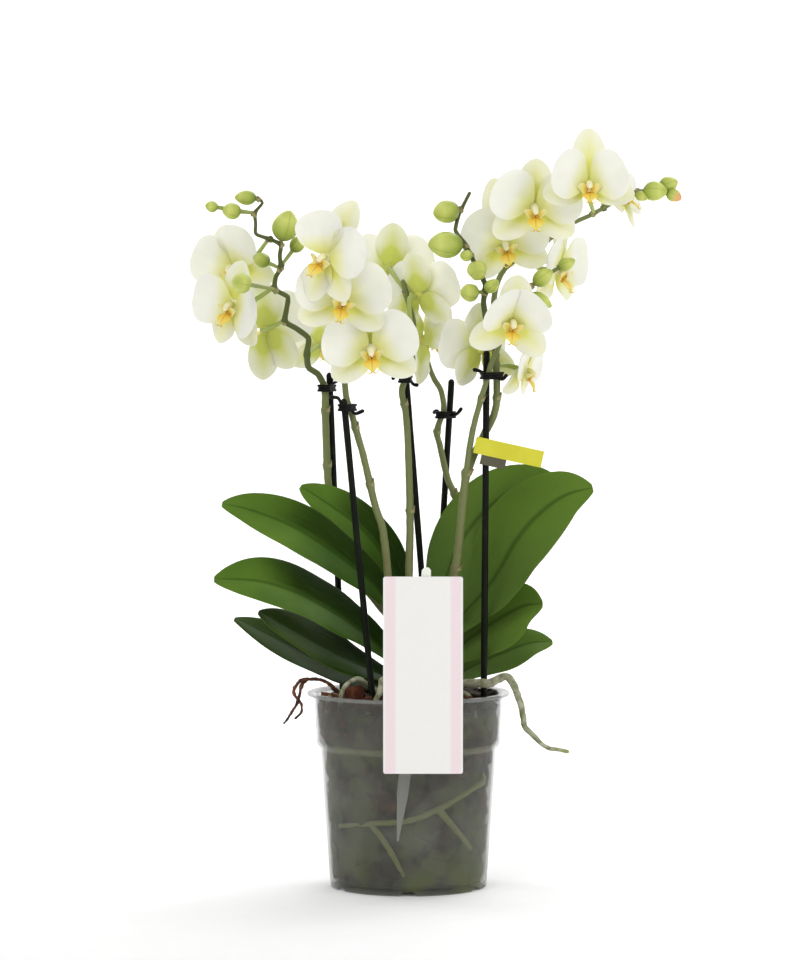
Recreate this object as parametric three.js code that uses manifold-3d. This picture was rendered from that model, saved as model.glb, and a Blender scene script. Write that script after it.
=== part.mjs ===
// A potted moth orchid: one plant with nine leaves and five flower spikes, tied with clips to thin
// stakes, in a smoky plastic nursery pot with bark, roots and a plant tag.
// Millimetres, +Z up. The origin is the middle of the pot's underside, and the front faces -Y.

import * as THREE from 'three';
import { mergeVertices } from 'three/addons/utils/BufferGeometryUtils.js';
import Module from 'manifold-3d';

const wasm = await Module();
wasm.setup();

// ---------------------------------------------------------------- driving dimensions

const POT = {
  height: 115.5,
  rimRadius: 60,
  rimThickness: 1.8,
  collarTopRadius: 56.2,
  collarBottomRadius: 54.4,
  collarBottom: 85.6,
  shoulder: 82.6,
  bodyTopRadius: 51.9,
  footRadius: 46.2,
  wall: 1.3,
  floorUnderside: 2.4,
  floorTop: 4,
  padRadius: 14,
  sides: 30,
  notches: 6,
  notchWidth: 7,
  notchHeight: 2.6,
};
const GAP = 0.35;              // air between pieces that touch
const STAKE_RADIUS = 2;
const STAKE_FOOT = 72;         // the stakes end this far above the pot's underside
const LEAF_THICKNESS = 1.8;
const TEPAL_THICKNESS = 0.9;
const BARK = { edgeTop: 101, middleTop: 107, rootRoom: 5.8, chips: 11, chipSize: 25, sides: 16, seed: 11 };
const STEM = { x: 5.7, y: 2, bottom: 105, top: 163, bottomRadius: 8.5, topRadius: 4.5 };
const CARD = { width: 46, height: 114, thickness: 0.6, left: -14.6, bottom: 74, y: -63.4 };
const STICK_THICKNESS = 1.2;
const LABEL = {
  length: 40.5, height: 9.8, thickness: 0.8, tilt: 12.5, heightOnStake: 261.3, overhang: 6.6,
  loopHeight: 5, tabLength: 15, tabHeight: 5.6, tabStart: 5,
};
const CLIP = { height: 4.5, wall: 1.3, play: 0.85, prongRadius: 1.1 };

// ---------------------------------------------------------------- colours

const COLOURS = {
  smokyPlastic: { color: 0x5f605c, roughness: 0.25 },
  bark: { color: 0x4a3222, roughness: 0.95 },
  root: { color: 0xa9ab8c, roughness: 0.8 },
  dryRoot: { color: 0x5b3b26, roughness: 0.9 },
  stem: { color: 0x5d7032, roughness: 0.5 },
  leaf: { color: 0x2f5a20, roughness: 0.35 },
  spike: { color: 0x66743a, roughness: 0.5 },
  tepal: { color: 0xf2f2e4, roughness: 0.6 },
  lip: { color: 0xe4b52c, roughness: 0.5 },
  stake: { color: 0x15160f, roughness: 0.45 },
  clip: { color: 0x17171a, roughness: 0.35 },
  card: { color: 0xf4f2ef, roughness: 0.6 },
  clearPlastic: { color: 0xdcdfda, roughness: 0.2 },
  label: { color: 0xd9d64a, roughness: 0.5 },
};

function material(name) {
  const { color, roughness } = COLOURS[name];
  return new THREE.MeshStandardMaterial({ color, roughness, metalness: 0 });
}

// ---------------------------------------------------------------- small helpers

const radians = THREE.MathUtils.degToRad;
const vector = (x, y, z) => new THREE.Vector3(x, y, z);
const vectors = (list) => list.map(([x, y, z]) => vector(x, y, z));
const mix = (a, b, t) => a + (b - a) * t;

/** A repeatable stream of numbers from 0 to 1. */
function randomStream(seed) {
  let state = seed;
  return () => {
    state = (state * 16807) % 2147483647;
    return state / 2147483647;
  };
}

/** A closed geometry as a manifold solid, turned so that its faces point out. */
function solid(geometry) {
  const plain = geometry.clone();
  plain.deleteAttribute('normal');
  plain.deleteAttribute('uv');
  const merged = mergeVertices(plain, 1e-4);
  const index = merged.index.array;
  const corners = [];
  for (let i = 0; i < index.length; i += 3) {
    const [a, b, c] = [index[i], index[i + 1], index[i + 2]];
    if (a !== b && b !== c && c !== a) {
      corners.push(a, b, c);
    }
  }
  const place = merged.attributes.position.array;
  let volume = 0;
  for (let i = 0; i < corners.length; i += 3) {
    const [a, b, c] = [0, 1, 2].map((k) => new THREE.Vector3().fromArray(place, corners[i + k] * 3));
    volume += a.dot(b.cross(c));
  }
  if (volume < 0) {
    corners.reverse();
  }
  return new wasm.Manifold(new wasm.Mesh({
    numProp: 3,
    vertProperties: new Float32Array(place),
    triVerts: new Uint32Array(corners),
  }));
}

/** Joins geometries into one solid, and keeps its main body without sealed hollows or scraps. */
function join(geometries) {
  const whole = geometries.map(solid).reduce((sum, next) => sum.add(next));
  return mainBody(whole);
}

function mainBody(manifold) {
  const bodies = manifold.decompose();
  return bodies.reduce((largest, next) => (next.volume() > largest.volume() ? next : largest));
}

function geometryOf(manifold) {
  const data = manifold.getMesh();
  const geometry = new THREE.BufferGeometry();
  geometry.setAttribute('position', new THREE.BufferAttribute(new Float32Array(data.vertProperties), 3));
  geometry.setIndex(new THREE.BufferAttribute(new Uint32Array(data.triVerts), 1));
  geometry.computeVertexNormals();
  return geometry;
}

const orchid = new THREE.Group();

function place(name, manifold, materialName) {
  const mesh = new THREE.Mesh(geometryOf(manifold), material(materialName));
  mesh.name = name;
  orchid.add(mesh);
}

function shell(points, triangles) {
  const places = points.flatMap((p) => p.toArray());
  const geometry = new THREE.BufferGeometry();
  geometry.setAttribute('position', new THREE.Float32BufferAttribute(places, 3));
  geometry.setIndex(triangles);
  return geometry;
}

/** A closed skin over rings of points; each end is closed by a fan to its middle. */
function loft(rings) {
  const sides = rings[0].length;
  const points = rings.flat();
  const triangles = [];
  for (let i = 0; i + 1 < rings.length; i += 1) {
    for (let j = 0; j < sides; j += 1) {
      const near = i * sides + j;
      const next = i * sides + ((j + 1) % sides);
      triangles.push(near, next, next + sides, near, next + sides, near + sides);
    }
  }
  const ends = [rings[0], rings[rings.length - 1]];
  ends.forEach((ring, end) => {
    const middle = ring.reduce((sum, p) => sum.add(p), vector(0, 0, 0)).divideScalar(sides);
    const offset = end * (rings.length - 1) * sides;
    points.push(middle);
    for (let j = 0; j < sides; j += 1) {
      const rim = [offset + j, offset + ((j + 1) % sides)];
      triangles.push(points.length - 1, rim[1 - end], rim[end]);
    }
  });
  return shell(points, triangles);
}

/** A round rod along a smooth curve; radiusAt(t) gives its radius from one end to the other. */
function rod(points, radiusAt, sides, steps) {
  const curve = new THREE.CatmullRomCurve3(points, false, 'centripetal');
  const frames = curve.computeFrenetFrames(steps, false);
  const rings = [];
  for (let i = 0; i <= steps; i += 1) {
    const middle = curve.getPointAt(i / steps);
    const ring = [];
    for (let j = 0; j < sides; j += 1) {
      const turn = (2 * Math.PI * j) / sides;
      const out = frames.normals[i].clone().multiplyScalar(Math.cos(turn));
      out.addScaledVector(frames.binormals[i], Math.sin(turn));
      ring.push(middle.clone().addScaledVector(out, radiusAt(i / steps)));
    }
    rings.push(ring);
  }
  return loft(rings);
}

/**
 * A thin blade over surface(u, v), u from root to tip and v from -1 to 1 across. Both faces meet
 * along the outline and are split into triangles alike, and the blade is thickest along its middle.
 */
function blade(surface, rows, columns, thickness) {
  const grid = [];
  for (let i = 0; i <= rows; i += 1) {
    const line = [];
    for (let j = 0; j <= columns; j += 1) {
      line.push(surface(i / rows, (2 * j) / columns - 1));
    }
    grid.push(line);
  }
  const points = [];
  const number = (i, j, face) => {
    if (i === rows) {
      return grid[rows].number;
    }
    return grid[i].numbers[j][face];
  };
  for (let i = 0; i < rows; i += 1) {
    grid[i].numbers = [];
    for (let j = 0; j <= columns; j += 1) {
      const edge = i === 0 || j === 0 || j === columns;
      if (edge) {
        points.push(grid[i][j]);
        grid[i].numbers.push([points.length - 1, points.length - 1]);
      } else {
        const along = grid[i + 1][j].clone().sub(grid[i - 1][j]);
        const across = grid[i][j + 1].clone().sub(grid[i][j - 1]);
        const normal = along.cross(across).normalize();
        const v = (2 * j) / columns - 1;
        const half = (thickness / 2) * Math.sqrt(1 - v * v);
        points.push(grid[i][j].clone().addScaledVector(normal, half));
        points.push(grid[i][j].clone().addScaledVector(normal, -half));
        grid[i].numbers.push([points.length - 2, points.length - 1]);
      }
    }
  }
  points.push(surface(1, 0));
  grid[rows].number = points.length - 1;
  const triangles = [];
  [0, 1].forEach((face) => {
    const add = (a, b, c) => (face === 0 ? triangles.push(a, b, c) : triangles.push(a, c, b));
    for (let i = 0; i < rows - 1; i += 1) {
      for (let j = 0; j < columns; j += 1) {
        const a = number(i, j, face);
        const b = number(i, j + 1, face);
        const c = number(i + 1, j, face);
        const d = number(i + 1, j + 1, face);
        if (j < columns / 2) {
          add(a, b, d);
          add(a, d, c);
        } else {
          add(a, b, c);
          add(b, d, c);
        }
      }
    }
    for (let j = 0; j < columns; j += 1) {
      add(number(rows - 1, j, face), number(rows - 1, j + 1, face), number(rows, 0, face));
    }
  });
  return shell(points, triangles);
}

// ---------------------------------------------------------------- pot

/** Radius of the pot's outside wall at a height. */
function outerRadius(z) {
  if (z >= POT.collarBottom) {
    const t = (z - POT.collarBottom) / (POT.height - POT.collarBottom);
    return mix(POT.collarBottomRadius, POT.collarTopRadius, t);
  }
  return mix(POT.footRadius, POT.bodyTopRadius, Math.min(1, z / POT.shoulder));
}

const innerRadius = (z) => outerRadius(z) - POT.wall;

function turned(profile, sides) {
  const geometry = new THREE.LatheGeometry(profile.map(([r, z]) => new THREE.Vector2(r, z)), sides);
  return geometry.rotateX(Math.PI / 2);
}

function pot() {
  const rimUnder = POT.height - POT.rimThickness;
  const profile = [
    [0, 0],
    [POT.padRadius, 0],
    [POT.padRadius + 1, POT.floorUnderside],
    [POT.footRadius - 3.2, POT.floorUnderside],
    [POT.footRadius - 2.4, 0],
    [POT.footRadius, 0],
    [POT.bodyTopRadius, POT.shoulder],
    [POT.collarBottomRadius, POT.collarBottom],
    [outerRadius(rimUnder), rimUnder],
    [POT.rimRadius, rimUnder],
    [POT.rimRadius, POT.height],
    [innerRadius(POT.height), POT.height],
    [innerRadius(POT.collarBottom), POT.collarBottom + 1],
    [POT.bodyTopRadius - POT.wall, POT.shoulder],
    [innerRadius(POT.floorTop), POT.floorTop],
    [0, POT.floorTop],
  ];
  let body = solid(turned(profile, POT.sides));
  for (let i = 0; i < POT.notches; i += 1) {
    const notch = new THREE.BoxGeometry(12, POT.notchWidth, 2 * POT.notchHeight);
    notch.translate(POT.footRadius, 0, 0);
    notch.rotateZ((2 * Math.PI * (i + 0.5)) / POT.notches);
    body = body.subtract(solid(notch));
  }
  place('pot', mainBody(body), 'smokyPlastic');
}

// ---------------------------------------------------------------- stakes and clips

// Each stake leans from its foot in the bark to its top.
const STAKES = {
  far_left: { foot: [-39.4, 27, 114], top: [-47.4, 34, 304] },
  front_left: { foot: [-22.1, -33, 126], top: [-37.8, -31, 290] },
  middle: { foot: [13.4, 19, 115], top: [-1.7, 4, 305] },
  back_right: { foot: [14.8, 36, 113], top: [25.9, 36, 300] },
  front_right: { foot: [44.4, -16.5, 116], top: [45.7, -23, 318] },
};

function stakeLine(name) {
  const { foot, top } = STAKES[name];
  const start = vector(...foot);
  const end = vector(...top);
  const reach = (STAKE_FOOT - start.z) / (end.z - start.z);
  return [start.clone().lerp(end, reach), end];
}

function stakeAt(name, z) {
  const [start, end] = stakeLine(name);
  return start.clone().lerp(end, (z - start.z) / (end.z - start.z));
}

function stakes() {
  for (const name of Object.keys(STAKES)) {
    place(`stake_${name}`, solid(rod(stakeLine(name), () => STAKE_RADIUS, 8, 1)), 'stake');
  }
}

const stakeHoles = () => Object.keys(STAKES).map((name) => {
  const [start, end] = stakeLine(name);
  const below = start.clone().lerp(end, -GAP / start.distanceTo(end));
  return rod([below, end], () => STAKE_RADIUS + 1.6 * GAP, 6, 1);
});

// A clip is a belt round a stake and the stalks beside it, with free prongs.
// `stalks` gives the middle and radius of each stalk at the clip's height.
const CLIPS = {
  far_left: {
    height: 294.6,
    stalks: [[-50.1, 27.6, 2.3]],
    prongs: [
      [[-46, 32, 298], [-43.6, 30, 306], [-45, 29, 313]],
      [[-46, 36, 297], [-42, 38, 299], [-39, 38, 303]],
    ],
  },
  front_left: {
    height: 284.5,
    stalks: [[-34.4, -25, 2.3]],
    prongs: [
      [[-34, -29, 284], [-31, -31, 281], [-26.8, -32, 282.5]],
      [[-39, -32, 286], [-41, -31, 290], [-45, -30, 290.5]],
    ],
  },
  middle: {
    height: 300.5,
    stalks: [[-2, -3, 2.3]],
    prongs: [
      [[-4, 1, 300], [-7, 0, 303], [-9, -1, 301]],
      [[1, 0, 300], [3, -1, 297.5], [5, -2, 297]],
    ],
  },
  back_right: {
    height: 278.5,
    stalks: [[20.2, 31, 2.3]],
    prongs: [
      [[26, 33, 278], [29, 32, 279], [31.5, 31, 282]],
      [[19, 35, 279], [17, 34, 281], [15.5, 33, 280]],
    ],
  },
  front_right: {
    height: 303,
    stalks: [[46.3, -28.5, 1.9], [51.6, -19.5, 2.4]],
    prongs: [
      [[45, -28, 304], [41, -28, 306], [38.5, -29, 306.5]],
      [[51, -25, 302], [55, -26, 301], [57, -26, 303]],
    ],
  },
};

/** The tight outline round a set of circles, as points in order. */
function beltOutline(circles, grow) {
  const points = circles.flatMap(([x, y, r]) => Array.from({ length: 6 }, (_, k) => {
    const turn = (2 * Math.PI * (k + 0.5)) / 6;
    return new THREE.Vector2(x + (r + grow) * Math.cos(turn), y + (r + grow) * Math.sin(turn));
  }));
  points.sort((a, b) => a.x - b.x || a.y - b.y);
  const chain = (list) => {
    const hull = [];
    for (const p of list) {
      while (hull.length > 1) {
        const [a, b] = hull.slice(-2);
        if (b.clone().sub(a).cross(p.clone().sub(b)) > 1e-6) {
          break;
        }
        hull.pop();
      }
      hull.push(p);
    }
    return hull.slice(0, -1);
  };
  return [...chain(points), ...chain([...points].reverse())];
}

function belt(circles, inner, outer, height) {
  const shape = new THREE.Shape(beltOutline(circles, outer));
  shape.holes.push(new THREE.Path(beltOutline(circles, inner)));
  return new THREE.ExtrudeGeometry(shape, { depth: height, bevelEnabled: false, curveSegments: 1 });
}

function clips() {
  for (const [name, clip] of Object.entries(CLIPS)) {
    const middle = stakeAt(name, clip.height);
    const circles = [[middle.x, middle.y, STAKE_RADIUS], ...clip.stalks];
    const ring = belt(circles, CLIP.play, CLIP.play + CLIP.wall, CLIP.height);
    ring.translate(0, 0, clip.height - CLIP.height / 2);
    const inside = new THREE.ExtrudeGeometry(
      new THREE.Shape(beltOutline(circles, CLIP.play)),
      { depth: 3 * CLIP.height, bevelEnabled: false },
    );
    inside.translate(0, 0, clip.height - 1.5 * CLIP.height);
    const prongs = clip.prongs.map((path) => rod(vectors(path), () => CLIP.prongRadius, 4, 2));
    const loose = prongs.map(solid).reduce((sum, next) => sum.add(next)).subtract(solid(inside));
    place(`clip_${name}`, mainBody(solid(ring).add(loose)), 'clip');
  }
}

// ---------------------------------------------------------------- leaves

// A leaf's midrib runs from its joint on the stem to its tip. The blade is rolled towards the
// front by `roll` degrees, and folded up along the midrib by `fold` degrees.
const LEAVES = {
  left_1: {
    midrib: [[-7.9, -2, 160], [-15, -4, 171], [-27.4, -6, 184.5], [-49.7, -8, 201.7], [-67.9, -8, 213],
      [-93.2, -10, 223.1], [-110.7, -12, 227.3]],
    width: 38, roll: 46, fold: 9,
  },
  left_2: {
    midrib: [[-9, -1, 134], [-25.6, -4, 148.5], [-37.3, -7, 157.5], [-51.4, -10, 166.5], [-67.8, -14, 175.2],
      [-88.1, -18, 181.6], [-114.9, -22, 183.3]],
    width: 44, roll: 40, fold: 9,
  },
  left_3: {
    midrib: [[-9, 0, 121.5], [-34.4, -8, 133.5], [-52, -12, 143], [-69.5, -16, 153.4], [-88.7, -20, 164.3]],
    width: 36, roll: 36, fold: 8,
  },
  left_4: {
    midrib: [[-9, 5, 114.5], [-37.5, 9, 124.5], [-54.7, 11, 132.5], [-74.3, 13, 142.5], [-93.9, 13, 152.5],
      [-104.4, 12, 157.7]],
    width: 32, roll: 30, fold: 8,
  },
  left_5: {
    midrib: [[-1, 9, 165], [-12.1, 15, 190], [-22.8, 17.5, 205], [-34.7, 17, 216], [-46.6, 14.5, 224.5],
      [-58.4, 12, 232.6], [-64.9, 12, 236.8]],
    width: 32, roll: 56, fold: 10,
  },
  right_1: {
    midrib: [[20.5, 0, 148.5], [33.4, 0, 162], [46.4, -1, 176], [55.2, -2, 189], [63.5, -3, 204],
      [75.8, -4, 219], [92.3, -5, 231.5], [109.8, -6, 236.5]],
    width: 52, roll: 56, fold: 10,
  },
  right_2: {
    midrib: [[15, 7, 161], [21, 10, 178], [28.5, 14, 198], [40, 18, 215], [55, 21, 229], [72, 24, 238],
      [88, 26, 242]],
    width: 40, roll: 54, fold: 8,
  },
  right_3: {
    midrib: [[20.5, 2, 133], [32.9, 2, 143.3], [42.3, 1, 150.4], [54.1, 0, 158.3], [68.8, -2, 166.1],
      [79.9, -4, 167.5]],
    width: 46, roll: 52, fold: 8,
  },
  right_4: {
    midrib: [[20.5, 4, 119.5], [42.4, 9, 131], [57.3, 12, 137], [72.2, 14, 142.3], [86.5, 15, 143.4]],
    width: 34, roll: 34, fold: 8,
  },
};

/** Half width along a leaf: a narrow folded root, widest past the middle, and a blunt point. */
function leafOutline(u) {
  const widest = 0.58;
  if (u < widest) {
    return mix(0.34, 1, Math.sin((Math.PI / 2) * (u / widest)) ** 1.1);
  }
  const t = (u - widest) / (1 - widest);
  return (1 - t ** 2.1) ** 0.72;
}

/** The leaf's own frame at a place along its midrib: middle, far side and upper side. */
function leafFrame(leaf, u) {
  const curve = new THREE.CatmullRomCurve3(vectors(leaf.midrib), false, 'centripetal');
  const middle = curve.getPointAt(u);
  const along = curve.getTangentAt(u);
  const up = vector(0, 0, 1);
  const far = along.x < 0 ? along.clone().cross(up) : up.clone().cross(along);
  far.normalize();
  const above = along.x < 0 ? far.clone().cross(along) : along.clone().cross(far);
  above.normalize();
  const roll = radians(leaf.roll);
  const side = far.clone().multiplyScalar(Math.cos(roll)).addScaledVector(above, Math.sin(roll));
  const upper = above.multiplyScalar(Math.cos(roll)).addScaledVector(far, -Math.sin(roll));
  return { middle, along, side, upper };
}

function leafSurface(leaf) {
  const fold = radians(leaf.fold);
  return (u, v) => {
    const { middle, side, upper } = leafFrame(leaf, u);
    const reach = (leaf.width / 2) * leafOutline(u) * v;
    const foldHere = fold * mix(2.6, 1, Math.min(1, u / 0.3));
    return middle.addScaledVector(side, reach * Math.cos(foldHere))
      .addScaledVector(upper, Math.abs(reach) * Math.sin(foldHere));
  };
}

function leaves() {
  for (const [name, leaf] of Object.entries(LEAVES)) {
    place(`leaf_${name}`, solid(blade(leafSurface(leaf), 8, 4, LEAF_THICKNESS)), 'leaf');
  }
}

// ---------------------------------------------------------------- stem with leaf sheaths

/** The sheath that carries a leaf: from inside the stem to just short of the leaf's root. */
function sheath(leaf, grow = 0) {
  const frame = leafFrame(leaf, 0);
  const end = frame.middle.clone().addScaledVector(frame.along, grow - GAP);
  const start = vector(STEM.x, STEM.y, end.z - 7);
  const halfWidth = (leaf.width / 2) * leafOutline(0);
  const fold = radians(leaf.fold * 2.6);
  const ring = (middle, width, thick) => [-1, 0, 1, 0].map((v, k) => {
    const face = k < 2 ? -1 : 1;
    const depth = face * thick * (1 - Math.abs(v) * 0.6);
    const rise = Math.abs(v) * width * Math.sin(fold);
    return middle.clone().addScaledVector(frame.side, v * width * Math.cos(fold))
      .addScaledVector(frame.upper, rise + depth);
  });
  const waist = start.clone().lerp(end, 0.55);
  return loft([
    ring(start, halfWidth * 0.7 + grow, 3 + grow),
    ring(waist, halfWidth * 0.9 + grow, 2.6 + grow),
    ring(end, halfWidth + grow, 1.3 + grow),
  ]);
}

function stem() {
  const trunk = rod(
    [vector(STEM.x, STEM.y, STEM.bottom), vector(STEM.x, STEM.y, STEM.top)],
    (t) => mix(STEM.bottomRadius, STEM.topRadius, t),
    10,
    2,
  );
  let body = join([trunk, ...Object.values(LEAVES).map((leaf) => sheath(leaf))]);
  for (const spike of Object.values(SPIKES)) {
    body = body.subtract(solid(spikeFoot(spike)));
  }
  place('stem', mainBody(body), 'stem');
}

// ---------------------------------------------------------------- roots

// All roots in the pot leave one knot under the stem: over the bark, and down along the wall.
// `wall` lists places by their x and height that hug the inside of the pot, in front or behind.
const ROOTS = [
  { over: [[-9, -10, 112], [-21, -20, 119], [-30, -27, 125.5], [-38, -31, 120], [-40, -32, 106]],
    radius: 1.8 },
  { over: [[2, -14, 112], [-8, -22, 121], [-15, -27, 125], [-17, -35, 118], [-24, -43, 104]], radius: 2.2 },
  { over: [[-22, -6, 109], [-38, -9, 112], [-46, -18, 114.5], [-48, -19, 104]], radius: 1.7 },
  { over: [[20, -14, 110], [29, -22, 117], [36, -29, 115], [39, -32, 104]], radius: 1.6 },
  { over: [[-12, 16, 110], [-18, 34, 115], [-22, 42, 104]], radius: 2 },
  { wall: [[44, 66], [35.7, 60.4], [17.1, 50.5], [-0.8, 44.2], [-22.2, 41.9], [-40, 37.8]], radius: 2.1 },
  { fork: [17.1, 50.5], wall: [[28, 37], [36, 25.6]], radius: 2.2 },
  { fork: [-22.2, 41.9], wall: [[-11.8, 28.5], [-3, 12]], radius: 1.8 },
  { wall: [[-40, 70], [-20, 58], [2, 52], [24, 40], [38, 36]], radius: 2.1, behind: true },
  { fork: [2, 52], wall: [[-8, 34], [-22, 16]], radius: 1.9, behind: true },
];
const ROOT_KNOT = { at: [5.7, 2, 99], radius: 5.2 };

/** A point just inside the pot's wall at a height, in front or behind. */
function againstWall(x, z, radius, behind) {
  const reach = innerRadius(z) - 3 * GAP - radius;
  const depth = Math.sqrt(Math.max(0, reach * reach - x * x));
  return vector(x, behind ? depth : -depth, z);
}

function rootPath(root) {
  const knot = vector(...ROOT_KNOT.at);
  if (root.over) {
    const outward = vector(...root.over[0]).sub(knot).setZ(0).setLength(13);
    return [knot, knot.clone().add(outward).setZ(102), ...vectors(root.over)];
  }
  const alongWall = root.wall.map(([x, z]) => againstWall(x, z, root.radius, root.behind));
  return [root.fork ? againstWall(...root.fork, root.radius, root.behind) : knot, ...alongWall];
}

const rootRods = (grow) => ROOTS.map((root) => {
  const path = rootPath(root);
  return rod(path, (t) => root.radius * mix(1, 0.75, t) + grow, 5, path.length + 1);
});

function rootKnot(grow) {
  const knot = new THREE.IcosahedronGeometry(ROOT_KNOT.radius + grow, 0);
  return knot.translate(...ROOT_KNOT.at);
}

function roots() {
  place('roots', join([rootKnot(0), ...rootRods(0)]), 'root');
}

// One fat root climbs over the rim and hangs down outside. Two dried roots curl over the other side.
const AERIAL_ROOT = {
  path: [[22, -9, 108], [27, -11, 117], [33.3, -16, 121.5], [42, -22, 122.4], [48.4, -24, 122.9],
    [53, -26, 125.4], [57, -28, 126.8], [60.8, -29, 123.7], [63.3, -30, 117.7], [66, -31, 110],
    [67.3, -31, 102.4], [68, -31, 98], [72.6, -31, 93.1], [77.9, -31, 87.8], [83.1, -30, 84.8],
    [88.4, -30, 84.2], [93.1, -29, 82.9]],
  radii: [2.7, 2.7, 1.8, 1.1],
};
const DRIED_ROOTS = [
  [[-36, -6, 108], [-43, -7, 117], [-49.3, -8, 122.3], [-56, -8, 123.6], [-61.4, -8, 123.8],
    [-64.5, -9, 122.4], [-67.7, -9, 117.1], [-66.7, -9, 113.6], [-64.4, -9, 110.9], [-63, -9, 107.1],
    [-63.5, -10, 103.7], [-66.7, -10, 100.5]],
  [[-60, -8, 123.7], [-62.8, -11, 120.5], [-64.2, -13.5, 115], [-65.6, -14, 110], [-68.6, -14, 104.7],
    [-70.7, -14, 101.4], [-73.3, -14, 98.2]],
];
const DRIED_ROOT_RADIUS = 1.1;

function aerialRoot(grow) {
  const { path, radii } = AERIAL_ROOT;
  const radiusAt = (t) => {
    const k = Math.min(radii.length - 2, Math.floor(t * (radii.length - 1)));
    return mix(radii[k], radii[k + 1], t * (radii.length - 1) - k) + grow;
  };
  return rod(vectors(path), radiusAt, 5, 17);
}

const driedRoots = (grow) => DRIED_ROOTS.map((path) => rod(
  vectors(path),
  (t) => DRIED_ROOT_RADIUS * mix(1.1, 0.75, t) + grow,
  4,
  12,
));

function hangingRoots() {
  place('aerial_root', solid(aerialRoot(0)), 'root');
  place('dried_roots', join(driedRoots(0)), 'dryRoot');
}

// ---------------------------------------------------------------- tag

/** The stick: rounded above the card, widest in the middle and pointed in the bark. */
function tagStick(grow) {
  const stations = [
    [10.4, -62.3, 193.2, 2.2], [10.3, -62.2, 191.6, 5.2], [9.8, -61.6, 182, 6.4], [2.6, -52.7, 115.5, 7.8],
    [-0.9, -49, 83, 7.6], [-3.4, -47.4, 60, 6.6], [-6.3, -45.6, 32.4, 1],
  ];
  const half = STICK_THICKNESS / 2 + grow;
  const rings = stations.map(([x, y, z, width]) => {
    const side = width / 2 + grow;
    const corners = [[-side, -half], [side, -half], [side, half], [-side, half]];
    return corners.map(([a, b]) => vector(x + a, y + b, z));
  });
  rings[rings.length - 1].forEach((p) => { p.z -= grow; });
  return loft(rings);
}

function tag() {
  const card = new THREE.BoxGeometry(CARD.width, CARD.thickness, CARD.height);
  card.translate(CARD.left + CARD.width / 2, CARD.y, CARD.bottom + CARD.height / 2);
  place('tag_card', solid(card), 'card');
  place('tag_stick', solid(tagStick(0)), 'clearPlastic');
}

// ---------------------------------------------------------------- bark

/** A chip of bark: a box with its corners knocked about. */
function chip([x, y, z], [length, width, height], turn, random) {
  const box = new THREE.BoxGeometry(length, width, height);
  box.deleteAttribute('normal');
  box.deleteAttribute('uv');
  const lump = mergeVertices(box);
  const corners = lump.attributes.position;
  for (let i = 0; i < corners.array.length; i += 1) {
    corners.array[i] *= mix(0.7, 1.1, random());
  }
  lump.rotateX(radians(mix(-28, 28, random())));
  lump.rotateY(radians(mix(-28, 28, random())));
  lump.rotateZ(radians(turn));
  return lump.translate(x, y, z);
}

// The bigger chips that stand up round the foot of the plant: middle, size and turn.
const TALL_CHIPS = [
  [[-31, -27, 113.5], [12, 8, 18], 8],
  [[-46, -15, 110], [12, 9, 13], -20],
  [[-9, -33, 110], [14, 9, 12], 30],
  [[33, -30, 110], [13, 9, 12], -30],
  [[-16, 26, 110], [15, 10, 13], 60],
  [[34, 16, 109], [13, 9, 12], 100],
];

function barkCutters() {
  const trunk = rod(
    [vector(STEM.x, STEM.y, STEM.bottom - GAP), vector(STEM.x, STEM.y, STEM.top)],
    () => STEM.bottomRadius + 2 * GAP,
    8,
    1,
  );
  return [
    trunk,
    ...Object.values(LEAVES).filter((leaf) => leaf.midrib[0][2] < 125).map((leaf) => sheath(leaf, GAP)),
    ...stakeHoles(),
    rootKnot(GAP),
    ...rootRods(1.2 * GAP),
    aerialRoot(GAP),
    ...driedRoots(GAP),
    tagStick(GAP),
  ];
}

function bark() {
  const random = randomStream(BARK.seed);
  const inside = (z) => innerRadius(z) - GAP;
  const fill = [
    [0, POT.floorTop + GAP],
    [inside(POT.floorTop) - BARK.rootRoom, POT.floorTop + GAP],
    [inside(POT.shoulder) - BARK.rootRoom, POT.shoulder],
    [inside(POT.shoulder), POT.shoulder + BARK.rootRoom],
    [inside(POT.shoulder), BARK.edgeTop],
    [30, mix(BARK.edgeTop, BARK.middleTop, 0.7)],
    [0, BARK.middleTop],
  ];
  const envelope = [
    [0, POT.shoulder],
    [inside(POT.shoulder), POT.shoulder],
    [inside(POT.collarBottom + 1), POT.collarBottom + 1],
    [inside(POT.height), POT.height],
    [inside(POT.height) - 4, POT.height + 12],
    [0, POT.height + 12],
  ];
  const parts = [];
  for (let i = 0; i < BARK.chips; i += 1) {
    const out = Math.sqrt((i + 0.5) / BARK.chips);
    const turn = i * 137.5;
    const reach = out * (inside(BARK.edgeTop) - 5);
    const at = [
      reach * Math.cos(radians(turn)),
      reach * Math.sin(radians(turn)),
      mix(BARK.middleTop, BARK.edgeTop, out) + mix(-1, 2.5, random()),
    ];
    const length = BARK.chipSize * mix(0.75, 1.2, random());
    const size = [length, length * mix(0.6, 0.8, random()), length * mix(0.4, 0.6, random())];
    parts.push(chip(at, size, turn * 2.3, random));
  }
  TALL_CHIPS.forEach(([at, size, turn]) => parts.push(chip(at, size, turn, random)));
  const chips = parts.map(solid).reduce((sum, next) => sum.add(next))
    .intersect(solid(turned(envelope, BARK.sides)));
  let body = solid(turned(fill, BARK.sides)).add(chips);
  for (const cutter of barkCutters()) {
    body = body.subtract(solid(cutter));
  }
  place('bark', mainBody(body), 'bark');
}

// ---------------------------------------------------------------- label

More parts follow.
